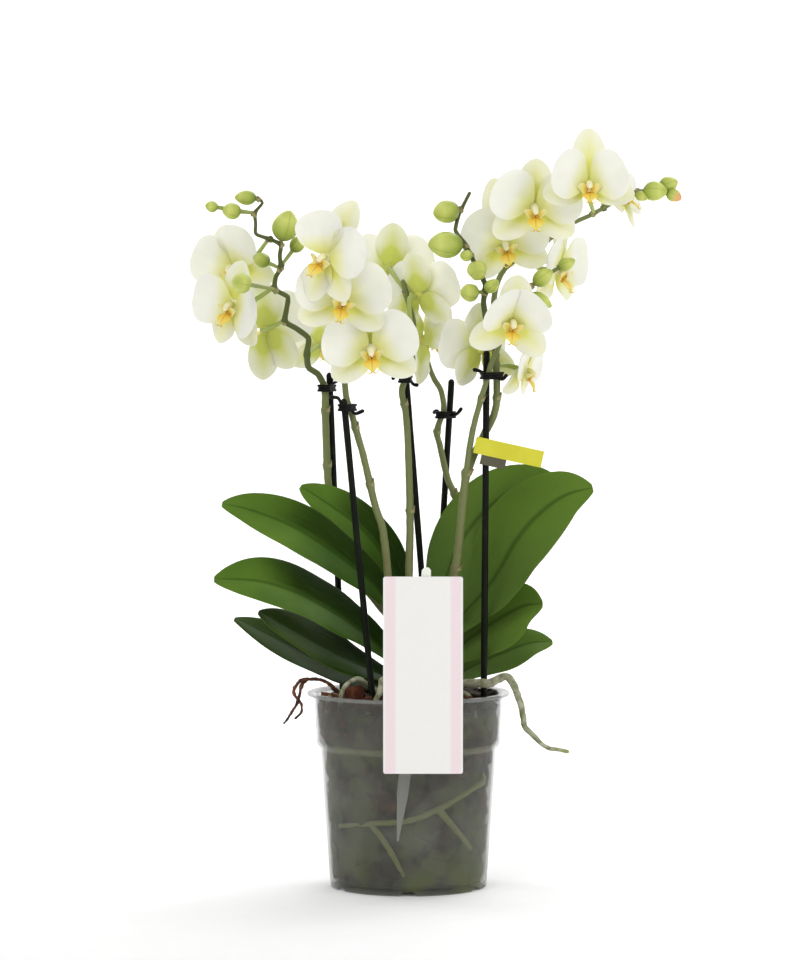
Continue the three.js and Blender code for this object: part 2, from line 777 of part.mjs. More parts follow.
/** A strap label folded round a stake: a small loop, a flag and a narrower tab beneath. */
function label() {
  const stake = stakeAt('front_right', LABEL.heightOnStake);
  const inner = STAKE_RADIUS + GAP + 0.75;
  const loop = belt([[0, 0, 0]], inner, inner + LABEL.thickness, LABEL.loopHeight);
  loop.translate(0, 0, -LABEL.loopHeight / 2);
  const flag = new THREE.BoxGeometry(LABEL.length, LABEL.thickness, LABEL.height);
  flag.translate(LABEL.length / 2 - LABEL.overhang, -inner - LABEL.thickness * 0.6, 0);
  const tab = new THREE.BoxGeometry(LABEL.tabLength, LABEL.thickness, LABEL.tabHeight + 1);
  tab.translate(
    LABEL.tabStart + LABEL.tabLength / 2 - LABEL.overhang,
    -inner - LABEL.thickness * 0.6,
    -(LABEL.height + LABEL.tabHeight) / 2 + 0.5,
  );
  const whole = [loop, flag, tab].map((g) => g.rotateY(radians(LABEL.tilt)).translate(...stake.toArray()));
  place('label', join(whole), 'label');
}

// ---------------------------------------------------------------- blooms

// A bloom faces `turn` degrees right of the front and `lift` degrees up, and is rolled `roll`
// degrees anticlockwise. `sweep` and `sepals` bend its petals and sepals forward, `dorsal` stretches
// the upper sepal, and `size` scales it all. `petals` and `laterals` give other angles for the two
// petals and the two lower sepals. The bloom's stalk leaves the spike at `stalk`.
const BLOOM = {
  petalLength: 28, petalWidth: 30, petals: [22, 158],
  dorsalLength: 28, dorsalWidth: 20,
  lateralLength: 28, lateralWidth: 18, laterals: [-35, 215],
  heart: 3.2, back: 4.4,
};

const BLOOMS = {
  left_1: { at: [-103.8, 32, 366.3], turn: -30, lift: 0, roll: 25, sweep: 20, sepals: 0,
    petals: [40, 135], stalk: [-82, 5, 383] },
  left_2: { at: [-101.8, -2, 344.5], turn: -40, lift: -4, roll: -17, sweep: 20, sepals: 6,
    petals: [0, 180], laterals: [-40, 250], stalk: [-79, 10.5, 355] },
  left_3: { at: [-86, 36, 329], turn: 178, lift: 0, roll: 0, sweep: 4, sepals: -14, size: 1.08,
    petals: [70, 150], laterals: [-90, -132], stalk: [-73, 16.5, 335] },
  left_4: { at: [-53, 53, 320], turn: 170, lift: 0, roll: 0, sweep: 12, sepals: 0, size: 0.75,
    stalk: [-60, 24, 315] },
  front_1: { at: [-46.8, -65, 371.8], turn: -25, lift: 0, roll: -27, sweep: 10, sepals: 0, dorsal: 1.3,
    petals: [36, 127], laterals: [-41, -89], stalk: [-43, -4, 360] },
  front_2: { at: [-37.8, -49, 348.3], turn: 5, lift: -8, roll: -14, sweep: 6, sepals: 4, dorsal: 1.15,
    size: 1.04, petals: [36, 166], laterals: [-24, 219], stalk: [-41, -14, 322] },
  front_3: { at: [-21.7, -37, 319], turn: 0, lift: -6, roll: 5, sweep: 4, sepals: 2, size: 1.05,
    stalk: [-38, -22, 305] },
  middle_1: { at: [6.3, 5, 350], turn: 150, lift: 10, roll: 0, sweep: 14, sepals: -4, size: 0.95,
    stalk: [2, -2, 322] },
  middle_2: { at: [9.3, 20, 323.5], turn: 120, lift: 0, roll: -50, sweep: 14, sepals: 0,
    stalk: [1, -3, 312] },
  middle_3: { at: [-11, 29, 366], turn: 178, lift: 0, roll: 3, sweep: 10, sepals: 0, stalk: [-3, 8, 352] },
  right_1: { at: [56.9, -7, 380.7], turn: 0, lift: -10, roll: 12, sweep: 12, sepals: 6, dorsal: 1.45,
    petals: [20, 142], stalk: [60, 4, 366] },
  right_2: { at: [73.4, -26, 401], turn: 4, lift: -6, roll: 0, sweep: 12, sepals: 6, size: 1.03,
    petals: [22, 150], stalk: [84, -5, 385] },
  right_3: { at: [104.5, -36, 413], turn: 2, lift: 12, roll: 0, sweep: 36, sepals: 10, dorsal: 1.25,
    laterals: [-14, 194], stalk: [110, -4, 398] },
  right_4: { at: [127, 32, 409], turn: 75, lift: 15, roll: -20, sweep: 14, sepals: 6, size: 0.85,
    stalk: [116, -3.5, 401.5] },
  right_5: { at: [88, 21, 365], turn: 60, lift: -5, roll: 0, sweep: 16, sepals: 6, stalk: [77, 0, 377] },
  right_6: { at: [59.5, -44, 334.4], turn: 10, lift: -4, roll: -8, sweep: 46, sepals: 4, petals: [46, 142],
    stalk: [52, -25, 326] },
  right_7: { at: [42, -8, 318], turn: -140, lift: 0, roll: -8, sweep: 12, sepals: 0, stalk: [51, -16, 314] },
  right_8: { at: [68, -6, 306], turn: 70, lift: -15, roll: 0, sweep: 6, sepals: 0, size: 0.85,
    stalk: [51.4, -18.5, 309] },
};
const BLOOMS_WITH_LIP = [
  'left_2', 'front_1', 'front_2', 'front_3', 'right_1', 'right_2', 'right_3', 'right_5', 'right_6',
];

/** The placing of a bloom: +X to its viewer's right, +Y to its upper sepal, +Z to its viewer. */
function bloomMatrix(bloom) {
  const turn = radians(bloom.turn);
  const lift = radians(bloom.lift);
  const facing = vector(
    Math.sin(turn) * Math.cos(lift),
    -Math.cos(turn) * Math.cos(lift),
    Math.sin(lift),
  );
  const right = vector(0, 0, 1).negate().cross(facing).negate().normalize();
  const upward = facing.clone().cross(right);
  const matrix = new THREE.Matrix4().makeBasis(right, upward, facing);
  matrix.multiply(new THREE.Matrix4().makeRotationZ(radians(bloom.roll)));
  const { size = 1 } = bloom;
  matrix.scale(vector(size, size, size));
  matrix.setPosition(...bloom.at);
  return matrix;
}

const petalOutline = (u) => (1 - Math.abs(2 * u ** 1.15 - 1) ** 2.3) ** 0.5;
const sepalOutline = (u) => Math.sin(Math.PI * u ** 0.92) ** 0.72;

/** One petal or sepal, lying at `angle` round the bloom and rising by `sweep` degrees. */
function tepalSurface({ angle, length, width, sweep, curl, cup, lay, outline }) {
  const turn = radians(angle);
  const along = vector(Math.cos(turn), Math.sin(turn), 0);
  const across = vector(-Math.sin(turn), Math.cos(turn), 0);
  const slope = Math.sin(radians(sweep));
  const flat = Math.cos(radians(sweep));
  return (u, v) => {
    const run = mix(1.6, length, u);
    const reach = (width / 2) * outline(u) * v;
    const height = lay + run * slope + curl * u * u + cup * v * v * outline(u);
    return along.clone().multiplyScalar(run * flat).addScaledVector(across, reach)
      .add(vector(0, 0, height));
  };
}

function tepals(bloom) {
  const { petalLength, petalWidth, dorsalLength, dorsalWidth, lateralLength, lateralWidth, heart } = BLOOM;
  const { sweep, sepals: sepalSweep, dorsal = 1, petals: petalAngles, laterals } = { ...BLOOM, ...bloom };
  const petal = {
    length: petalLength, width: petalWidth, sweep, curl: -1, cup: 2, lay: 1, outline: petalOutline,
  };
  const sepal = { sweep: sepalSweep, curl: -2, cup: 1.6, lay: -1.2, outline: sepalOutline };
  const lateral = { ...sepal, length: lateralLength, width: lateralWidth };
  const petals = petalAngles.map((angle) => tepalSurface({ ...petal, angle }));
  const sepals = [
    tepalSurface({ ...sepal, angle: 90, length: dorsalLength * dorsal, width: dorsalWidth }),
    ...laterals.map((angle) => tepalSurface({ ...lateral, angle })),
  ];
  const heartAt = (t) => (t < 0.6 ? heart * Math.sin(Math.PI * mix(0.2, 0.8, t / 0.6)) : 1.9);
  const middle = rod([vector(0, 0, -BLOOM.back), vector(0, 0.2, 2), vector(0, -1, 8.5)], heartAt, 5, 3);
  return [
    ...petals.map((surface) => blade(surface, 4, 4, TEPAL_THICKNESS)),
    ...sepals.map((surface) => blade(surface, 4, 2, TEPAL_THICKNESS)),
    middle,
  ];
}

/** The lip: a narrow claw that widens to a pointed tongue, between two raised side lobes. */
function lip() {
  const tongue = (u, v) => {
    const tongueWidth = 4.6 * Math.sin(Math.PI * mix(0.3, 1, (u - 0.35) / 0.65));
    const width = u < 0.35 ? mix(1.4, 2.2, u / 0.35) : tongueWidth;
    return vector(v * width, -4.6 - 3 * u - 4.4 * u * u, 3.2 + 9.5 * u - 2 * u * u + 0.8 * v * v);
  };
  const lobe = (side) => (u, v) => {
    const width = 3.4 * Math.sin(Math.PI * mix(0.25, 1, u)) ** 0.7;
    return vector(
      side * (0.8 + 6.6 * u),
      -5 + 3.6 * u + v * width * 0.55,
      4.6 + 2.4 * u + v * width * 0.84,
    );
  };
  return [
    blade(tongue, 5, 2, 1.2),
    blade(lobe(1), 3, 2, 1),
    blade(lobe(-1), 3, 2, 1),
  ];
}

/** Where a flower stalk meets the back of its bloom, and the way it arrives there. */
function bloomBack(bloom) {
  const matrix = bloomMatrix(bloom);
  const facing = vector(0, 0, 1).transformDirection(matrix);
  const end = vector(0, 0, -BLOOM.back).applyMatrix4(matrix).addScaledVector(facing, -GAP);
  return { end, facing };
}

function blooms() {
  for (const [name, bloom] of Object.entries(BLOOMS)) {
    const matrix = bloomMatrix(bloom);
    place(`bloom_${name}`, join(tepals(bloom).map((g) => g.applyMatrix4(matrix))), 'tepal');
    if (BLOOMS_WITH_LIP.includes(name)) {
      place(`lip_${name}`, join(lip().map((g) => g.applyMatrix4(matrix))), 'lip');
    }
  }
}

// ---------------------------------------------------------------- flower spikes

// A spike is its stalk, any branches, short stalks to its buds, and the stalks of its blooms.
const SPIKES = {
  far_left: {
    routes: [
      { path: [[1, 6, 142], [-6, 11, 152], [-27, 20, 178], [-43, 25.3, 209], [-47.5, 26, 234],
        [-48.7, 26.5, 251], [-49.5, 27, 275], [-49.9, 27.6, 296]], radius: [2.5, 2.1], steps: 8 },
      { path: [[-49.9, 27.6, 295.5], [-54, 28, 303], [-59.6, 26, 306.9], [-60.5, 24, 315], [-59.5, 22, 324.5],
        [-66.9, 19, 330.5], [-73.4, 17, 334.4], [-72.2, 15, 342.4], [-71.5, 13, 349], [-79.2, 11, 353.7],
        [-78.5, 10, 360.8], [-75.5, 9, 366.2], [-76.1, 7, 373.2], [-75.4, 6, 379.7], [-80.7, 5, 382.7],
        [-90.1, 3, 386.2], [-90.1, 2, 392.1], [-90.6, 1, 398.6], [-85.9, 0, 404.5], [-88.8, 0, 407.4]],
      radius: [2, 0.9], steps: 20 },
    ],
    buds: [
      { at: [-97.2, -36, 357], from: [-79, 11, 352.5], length: 14, width: 12 },
      { at: [-87, 12, 371], from: [-76, 9, 366], length: 11, width: 9 },
      { at: [-65.5, 12, 380.5], from: [-75.5, 9, 367], length: 12, width: 9 },
      { at: [-72.5, 4, 391], from: [-75.4, 6, 380], length: 19, width: 16 },
      { at: [-104, -7, 399.5], from: [-90.6, 1, 398.6], length: 12, width: 10 },
      { at: [-96, 0, 407.5], from: [-88.8, 0, 407.4], length: 13, width: 9 },
      { at: [-115.5, -11, 402], from: [-104, -7, 403], length: 8, width: 7 },
    ],
  },
  front_left: {
    routes: [
      { path: [[1, -3, 134], [-5, -12, 147], [-9.6, -18, 168], [-12, -21, 185], [-13.1, -22, 198],
        [-15.4, -23, 214.6], [-19.2, -24, 226], [-23, -25, 242], [-26.8, -26, 258], [-30, -26, 269],
        [-33, -26, 280], [-36, -25, 289], [-38, -22, 305], [-41, -14, 322], [-42, -8, 338],
        [-42, -4, 352], [-44, -4, 366]],
      radius: [2.6, 1.5], steps: 15 },
    ],
    buds: [],
  },
  middle: {
    routes: [
      { path: [[7, -4, 124], [5, -10, 138], [2, -12, 160], [0.4, -12, 185], [0.9, -10, 209], [0.9, -9, 224],
        [-0.2, -6, 259], [-0.5, -5, 266], [-1.8, -4, 282], [-3.9, -3, 294], [-2, -3, 300], [2.1, -3, 312],
        [2, -2, 318], [3, 0, 334], [0, 6, 345], [-3, 8, 358]],
      radius: [2.7, 1.5], steps: 14 },
    ],
    buds: [],
  },
  back_right: {
    routes: [
      { path: [[9, 5, 138], [14, 11, 150], [20.5, 20, 169], [27.8, 27, 198], [29.7, 30, 216], [29, 31, 227],
        [23.7, 31, 240], [18.9, 31, 260], [17.1, 31, 268], [18.9, 31, 275], [21.1, 31, 281], [19.5, 31, 293],
        [15.2, 31, 300.5], [11, 34, 314], [13, 34, 328], [20, 30, 340]],
      radius: [2.5, 1.4], steps: 16 },
    ],
    buds: [],
  },
  front_right: {
    routes: [
      { path: [[11.5, -2, 140], [16.5, -7, 149], [24.4, -13, 165], [27.3, -15, 185], [30.3, -17, 211],
        [32.6, -19, 235], [34, -20, 247]], radius: [2.7, 2.4], steps: 7 },
      { path: [[34, -20, 246], [35.8, -23, 261], [37.8, -25, 272], [42.5, -27.5, 290], [45.6, -28.5, 300.5],
        [48.6, -28, 311], [53, -25, 321], [56, -18, 334], [62, -10, 346], [73, -8, 356], [80, -8, 361],
        [90, -8, 367]], radius: [1.9, 1.1], steps: 12 },
      { path: [[34, -20, 245], [38, -17, 255.5], [41.3, -15.4, 262], [45, -15.6, 269.5], [49, -17, 277],
        [51.3, -19, 284.6], [51.8, -19.5, 292.3], [51.6, -19.5, 303], [51, -17, 318], [50, -10, 341],
        [52, -4, 356], [58, 0, 367], [66, 1, 372], [77, 0, 377], [85, -4, 385], [96, -5, 392],
        [107, -4, 397], [118, -3, 403], [131, -4, 410], [143, -5, 412], [152, -5, 414]],
      radius: [2.4, 1], steps: 22 },
      { path: [[51, -17, 317], [46, -19, 332], [44, -20, 346], [45, -20, 356], [39, -19, 368], [33, -17, 380],
        [27.6, -11, 388], [30, -3, 398], [36, -2, 410]], radius: [1.9, 1], steps: 10 },
    ],
    buds: [
      { at: [22, -8, 399], from: [31, -3, 400], length: 17, width: 14 },
      { at: [21.5, -23, 379.5], from: [33, -17, 379], length: 22, width: 16 },
      { at: [33.5, -25, 373], from: [36, -18, 374], length: 11, width: 7 },
      { at: [40, -27, 364.5], from: [41, -19.5, 364], length: 14, width: 12 },
      { at: [35.5, -27, 351.5], from: [44.5, -20, 352], length: 12, width: 11 },
      { at: [48.8, -27, 355.5], from: [45, -20, 352], length: 13, width: 8 },
      { at: [79, -10, 360.5], from: [73, -8, 356], length: 14, width: 10 },
      { at: [93, -9, 368.5], from: [90, -8, 367], length: 11, width: 8 },
      { at: [78, -11, 347], from: [69, -9, 352], length: 15, width: 8 },
      { at: [145, -8, 411], from: [136, -4, 411], length: 15, width: 12 },
      { at: [153, -4, 415], from: [147, -5, 413], length: 12, width: 10 },
      { at: [137, -8, 408], from: [131, -4, 410], length: 9, width: 6 },
      { at: [156, -8, 408.5], from: [148, -5, 412], length: 10, width: 8 },
    ],
  },
};

/** The point of a spike's stalks that is nearest to a given point. */
function onSpike(spike, point) {
  const aim = vector(...point);
  const places = spike.routes.flatMap(({ path }) => {
    const curve = new THREE.CatmullRomCurve3(vectors(path), false, 'centripetal');
    return curve.getSpacedPoints(20 * path.length);
  });
  return places.reduce((best, next) => (next.distanceTo(aim) < best.distanceTo(aim) ? next : best));
}

function bud(spike, { at, from, length, width }) {
  const middle = vector(...at);
  const root = onSpike(spike, from);
  const along = middle.clone().sub(root).normalize();
  const start = middle.clone().addScaledVector(along, -length / 2);
  const end = middle.clone().addScaledVector(along, length / 2);
  const radiusAt = (t) => Math.max(0.4, (width / 2) * Math.sin(Math.PI * t ** 0.85) ** 0.7);
  const body = rod([start, end], radiusAt, 5, 3);
  const stalkEnd = start.clone().addScaledVector(along, length * 0.25);
  return [body, rod([root, stalkEnd], (t) => mix(1, 1.3, t), 4, 1)];
}

function flowerStalk(spike, bloom) {
  const { end, facing } = bloomBack(bloom);
  const before = end.clone().addScaledVector(facing, -7);
  return rod([onSpike(spike, bloom.stalk), before, end], (t) => mix(1.2, 1.8, t), 4, 3);
}

const SPIKE_OF_BLOOM = {
  left: 'far_left',
  front: 'front_left',
  middle: 'middle',
  right: 'front_right',
};

function spikeRods(spike) {
  return spike.routes.map(({ path, radius, steps }) => rod(
    vectors(path),
    (t) => mix(radius[0], radius[1], t),
    5,
    steps,
  ));
}

/** The room a spike needs where it leaves the stem. */
function spikeFoot(spike) {
  const { path, radius } = spike.routes[0];
  const [first, second] = vectors(path);
  const before = first.clone().addScaledVector(second.clone().sub(first).normalize(), -GAP);
  return rod([before, ...vectors(path).slice(1, 3)], () => radius[0] + 2 * GAP, 5, 3);
}

function spikes() {
  for (const [name, spike] of Object.entries(SPIKES)) {
    const parts = spikeRods(spike);
    parts.push(...spike.buds.flatMap((one) => bud(spike, one)));
    for (const [bloomName, bloom] of Object.entries(BLOOMS)) {
      if (SPIKE_OF_BLOOM[bloomName.split('_')[0]] === name) {
        parts.push(flowerStalk(spike, bloom));
      }
    }
    place(`spike_${name}`, join(parts), 'spike');
  }
}

pot();
bark();
roots();
hangingRoots();
stem();
leaves();
stakes();
spikes();
blooms();
clips();
tag();
label();

export default orchid;
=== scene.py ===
# %% [markdown]
# # A moth orchid in its nursery pot
# The real thing is a small moth orchid as a florist sells it: thick strap leaves on a short stem,
# five flower spikes tied to thin stakes, bark and roots in a smoky see-through pot, a plant tag and
# a yellow strap label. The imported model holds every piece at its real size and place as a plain
# solid. This lesson grows a finer piece round each of them and gives it its finish.
# It could all be done by hand in Edit Mode. Code is used because petals, leaves and chips follow
# rules: one rule, run many times with small changes, keeps the plant lively and the file short.

import math
import random

import bmesh
import bpy
from mathutils import Matrix, Vector, noise


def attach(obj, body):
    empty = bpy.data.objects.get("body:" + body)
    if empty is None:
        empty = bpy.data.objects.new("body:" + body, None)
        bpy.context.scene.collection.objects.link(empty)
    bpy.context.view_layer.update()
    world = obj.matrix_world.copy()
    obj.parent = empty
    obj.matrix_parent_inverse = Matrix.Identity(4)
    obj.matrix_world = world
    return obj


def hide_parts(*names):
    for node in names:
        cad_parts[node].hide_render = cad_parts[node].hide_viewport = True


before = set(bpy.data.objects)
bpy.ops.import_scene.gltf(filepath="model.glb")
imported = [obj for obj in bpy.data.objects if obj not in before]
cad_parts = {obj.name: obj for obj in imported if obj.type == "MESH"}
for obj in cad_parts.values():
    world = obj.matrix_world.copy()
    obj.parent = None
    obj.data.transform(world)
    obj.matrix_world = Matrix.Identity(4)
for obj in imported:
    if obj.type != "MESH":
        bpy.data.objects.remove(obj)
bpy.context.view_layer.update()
print("nodes:", len(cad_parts))

# %% [markdown]
# ## The camera
# The photo was taken from about two and a third metres away, a little above the middle of the
# plant and looking slightly down. A long lens from far off gives nearly straight sides to the pot.
# The camera could be placed by eye; this place was worked out from the pot, whose rim is a true
# circle and so shows how far away and how high the camera stood.

# %% Camera
MM = 0.001
CAMERA_PLACE = Vector((-2.3, -2357, 346)) * MM
CAMERA_PITCH = math.radians(2.5537)
CAMERA_LENS = 149.66
CAMERA_SENSOR = 36

scene = bpy.context.scene
camera_data = bpy.data.cameras.new("camera")
camera_data.lens = CAMERA_LENS
camera_data.sensor_width = CAMERA_SENSOR
camera = bpy.data.objects.new("camera", camera_data)
camera.location = CAMERA_PLACE
camera.rotation_euler = (math.pi / 2 - CAMERA_PITCH, 0, 0)
scene.collection.objects.link(camera)
scene.camera = camera
print("camera at", tuple(round(value, 3) for value in camera.location))

# %% [markdown]
# ## Light and floor
# A plant on a white sweep is lit from all round, with one stronger light from the upper left. An
# even world gives the soft part, and three wide area lights shape the leaves and petals. Two more
# stand behind the plant and light only the sweep, as a studio does to get a clean white ground.
# The floor runs far back and curls up behind the plant, so that no edge shows.

# %% Light and floor
WORLD_STRENGTH = 0.5
PLANT = (0, 0, 0.25)
LIGHTS = {
    "key": {"place": (-0.9, -1.5, 1.7), "aim": PLANT, "size": 1.3, "power": 15},
    "fill": {"place": (1.6, -1.2, 0.9), "aim": PLANT, "size": 1.4, "power": 10},
    "rim": {"place": (0.5, 1.3, 1.6), "aim": PLANT, "size": 1.2, "power": 12},
    "left of sweep": {"place": (-1.7, 1.5, 2.3), "aim": (-0.3, 4.2, 0.5), "size": 1.6, "power": 62},
    "right of sweep": {"place": (1.7, 1.5, 2.3), "aim": (0.3, 4.2, 0.5), "size": 1.6, "power": 62},
}
FLOOR_HALF_WIDTH = 5.0
FLOOR_FRONT = -4.0
FLOOR_BACK = 3.0
FLOOR_CURL = 1.5

scene.view_settings.view_transform = "Standard"
world = bpy.data.worlds.new("studio")
world.use_nodes = True
world.node_tree.nodes["Background"].inputs["Color"].default_value = (1, 1, 1, 1)
world.node_tree.nodes["Background"].inputs["Strength"].default_value = WORLD_STRENGTH
scene.world = world

for name, light in LIGHTS.items():
    lamp = bpy.data.lights.new(name, "AREA")
    lamp.size = light["size"]
    lamp.energy = light["power"]
    lamp_object = bpy.data.objects.new(name, lamp)
    lamp_object.location = light["place"]
    way = Vector(light["aim"]) - lamp_object.location
    lamp_object.rotation_euler = way.to_track_quat("-Z", "Y").to_euler()
    scene.collection.objects.link(lamp_object)
print("lights:", ", ".join(LIGHTS))

# %% [markdown]
# ## Finishes as sums
# A material is a graph of nodes. Wired by hand, a sum of three terms takes three nodes and six
# links. The small class below wraps a socket, so that the same sum is written as plain Python and
# each operator adds its own Math node. Every other node comes from one method of `Finish`.

# %% Finishes as sums
class Value:
    """A socket that gives a number; sums on it become Math nodes."""

    def __init__(self, finish, socket):
        self.finish = finish
        self.socket = socket

    def sum(self, operation, first, second):
        return self.finish.node("ShaderNodeMath", {"operation": operation}, {0: first, 1: second})

    def __add__(self, other):
        return self.sum("ADD", self, other)

    def __sub__(self, other):
        return self.sum("SUBTRACT", self, other)

    def __rsub__(self, other):
        return self.sum("SUBTRACT", other, self)

    def __mul__(self, other):
        return self.sum("MULTIPLY", self, other)

    def __abs__(self):
        return self.sum("ABSOLUTE", self, 0)

    __radd__ = __add__
    __rmul__ = __mul__


print("sums on sockets: +, -, * and abs")


# %% Finishes
class Finish:
    """A material while it is put together: its nodes and the shader that they feed."""

    def __init__(self, name, constants):
        self.material = bpy.data.materials.new(name)
        self.material.use_nodes = True
        self.shader = self.material.node_tree.nodes["Principled BSDF"]
        for socket, value in constants.items():
            self.shader.inputs[socket].default_value = value

    def node(self, kind, settings=None, inputs=None, output=0):
        """Adds a node, makes its settings, feeds its sockets and gives one output back."""
        made = self.material.node_tree.nodes.new(kind)
        for name, value in (settings or {}).items():
            if name == "stops":
                self.set_stops(made.color_ramp, value)
            else:
                setattr(made, name, value)
        for name, value in (inputs or {}).items():
            self.feed(made.inputs[name], value)
        return Value(self, made.outputs[output])

    def set_stops(self, ramp, stops):
        while len(ramp.elements) < len(stops):
            ramp.elements.new(1)
        for element, (place, colour) in zip(ramp.elements, stops):
            element.position = place
            element.color = colour

    def feed(self, socket, value):
        if isinstance(value, Value):
            self.material.node_tree.links.new(value.socket, socket)
        else:
            socket.default_value = value

    def shade(self, **inputs):
        """Feeds what varies over the surface; base_color is the socket Base Color."""
        for name, value in inputs.items():
            self.feed(self.shader.inputs[name.replace("_", " ").title()], value)
        return self.material

    def mark(self, name):
        """A number that the mesh carries at each of its points."""
        settings = {"attribute_type": "GEOMETRY", "attribute_name": name}
        return self.node("ShaderNodeAttribute", settings, output="Fac")

    def place(self):
        return self.node("ShaderNodeTexCoord", output="Object")

    def coordinate(self, axis):
        """How far a point lies along one axis, in metres."""
        return self.node("ShaderNodeSeparateXYZ", None, {0: self.place()}, axis)

    def vector(self, x, y, z):
        return self.node("ShaderNodeCombineXYZ", None, {0: x, 1: y, 2: z})

    def noise(self, scale, detail=3.0, place=None, distortion=0.0):
        inputs = {"Vector": place or self.place(), "Scale": scale, "Detail": detail, "Distortion": distortion}
        return self.node("ShaderNodeTexNoise", None, inputs, "Fac")

    def rise(self, value, low, high):
        """0 below low and 1 above high, with a soft step between; it falls where low is above high."""
        settings = {"interpolation_type": "SMOOTHSTEP"}
        return self.node("ShaderNodeMapRange", settings, {0: value, 1: low, 2: high, 3: 0, 4: 1})

    def ramp(self, value, *stops):
        return self.node("ShaderNodeValToRGB", {"stops": stops}, {"Fac": value})

    def blend(self, factor, first, second):
        return self.node("ShaderNodeMix", {"data_type": "RGBA"}, {0: factor, 6: first, 7: second}, 2)

    def bump(self, height, strength, distance):
        inputs = {"Height": height, "Strength": strength, "Distance": distance}
        return self.node("ShaderNodeBump", None, inputs)


def tint(red, green, blue):
    """A colour as it looks on a screen, 0 to 255 each, as the light values that a shader works in."""
    def light(level):
        share = level / 255
        return share / 12.92 if share <= 0.04045 else ((share + 0.055) / 1.055) ** 2.4
    return (light(red), light(green), light(blue), 1)


print("white is", [round(value, 2) for value in tint(244, 243, 236)[:3]])

# %% [markdown]
# ## Forms
# Stalks, roots and wires are tubes; leaves and petals are thin sheets with two faces. Blender's
# curves with a bevel make tubes, and a Solidify modifier thickens a sheet. Lofting rings of points
# does both here, because each point can then carry marks, such as how far along the petal it lies.
# The finish reads these marks, so a midrib or a green throat stays in place on every petal.

# %% Forms
MARKS = ("along", "across", "tone", "face")


class Form:
    """One piece as it grows: places in millimetres, faces, and the marks its finish reads."""

    def __init__(self):
        self.places = []
        self.faces = []
        self.marks = {mark: [] for mark in MARKS}

    def loft(self, rings, along=None, across=None, face=None, tone=0.0, closed=False):
        """A skin over rings with equally many points: capped at both ends, or closed to a ring."""
        first = len(self.places)
        sides = len(rings[0])
        for row, ring in enumerate(rings):
            self.places.extend(ring)
            level = along[row] if along else row / (len(rings) - 1)
            self.marks["along"].extend([level] * sides)
            self.marks["across"].extend(across or [0.0] * sides)
            self.marks["face"].extend(face or [0.0] * sides)
            self.marks["tone"].extend([tone] * sides)
        for row in range(len(rings) if closed else len(rings) - 1):
            this_ring = first + row * sides
            next_ring = first + (row + 1) % len(rings) * sides
            for side in range(sides):
                beside = (side + 1) % sides
                self.faces.append([
                    this_ring + side, this_ring + beside, next_ring + beside, next_ring + side,
                ])
        if not closed:
            self.faces.append([first + side for side in reversed(range(sides))])
            last = first + (len(rings) - 1) * sides
            self.faces.append([last + side for side in range(sides)])


def mm(points):
    return [Vector(point) for point in points]


def mix(first, last, share):
    return first + (last - first) * share


print("each point carries:", ", ".join(MARKS))

# %% Lines
STEPS_BETWEEN_POINTS = 16


def smooth_path(points, spacing, looseness=1.0):
    """Places about `spacing` apart on a smooth curve through the points; low looseness sharpens bends."""
    ends = [2 * points[0] - points[1], *points, 2 * points[-1] - points[-2]]
    fine = []
    for a, b, c, d in zip(ends, ends[1:], ends[2:], ends[3:]):
        before, span, after = ((q - p).length ** 0.5 for p, q in ((a, b), (b, c), (c, d)))
        leaving = ((b - a) / before - (c - a) / (before + span) + (c - b) / span) * span * looseness
        arriving = ((c - b) / span - (d - b) / (span + after) + (d - c) / after) * span * looseness
        for step in range(STEPS_BETWEEN_POINTS):
            t = step / STEPS_BETWEEN_POINTS
            fine.append(
                b * (2 * t**3 - 3 * t**2 + 1) + leaving * (t**3 - 2 * t**2 + t)
                + c * (3 * t**2 - 2 * t**3) + arriving * (t**3 - t**2)
            )
    fine.append(points[-1])
    return evenly(fine, spacing)


def evenly(line, spacing):
    """The same line with its places the same length apart."""
    lengths = [0.0]
    for here, there in zip(line, line[1:]):
        lengths.append(lengths[-1] + (there - here).length)
    count = max(2, round(lengths[-1] / spacing))
    places = []
    part = 0
    for step in range(count + 1):
        reach = lengths[-1] * step / count
        while part < len(line) - 2 and lengths[part + 1] < reach:
            part += 1
        share = (reach - lengths[part]) / (lengths[part + 1] - lengths[part])
        places.append(line[part].lerp(line[part + 1], share))
    return places


def ways_along(line):
    """For each place on a line: the way it runs, and two ways square to it that don't twist."""
    ways = []
    side = None
    for step in range(len(line)):
        way = (line[min(step + 1, len(line) - 1)] - line[max(step - 1, 0)]).normalized()
        side = way.orthogonal() if side is None else side - way * side.dot(way)
        side.normalize()
        ways.append((way, side, way.cross(side)))
    return ways


print("curves take", STEPS_BETWEEN_POINTS, "steps between two points")

# %% Tubes and blades
ROUND_END = ((0.55, 0.8), (0.95, 0.3))
BLADE_EDGE = 0.15


def tube(form, line, radius_at, sides=12, tone=0.0, rough=0.0, grain=0.25):
    """A tube on a line of places, with its ends rounded by two rings; `rough` swells it here and there."""
    ways = ways_along(line)
    count = len(line) - 1
    stations = [(place, way, radius_at(step / count), step / count)
                for step, (place, way) in enumerate(zip(line, ways))]
    start, end = stations[0], stations[-1]
    for back, share in ROUND_END:
        stations.insert(0, (start[0] - start[1][0] * start[2] * back, start[1], start[2] * share, 0.0))
        stations.append((end[0] + end[1][0] * end[2] * back, end[1], end[2] * share, 1.0))
    rings = []
    for middle, (way, side, other), radius, share in stations:
        ring = []
        for step in range(sides):
            turn = 2 * math.pi * step / sides
            out = side * math.cos(turn) + other * math.sin(turn)
            swell = 1 + rough * noise.noise((middle + out * radius) * grain)
            ring.append(middle + out * radius * swell)
        rings.append(ring)
    form.loft(rings, along=[station[3] for station in stations], tone=tone)


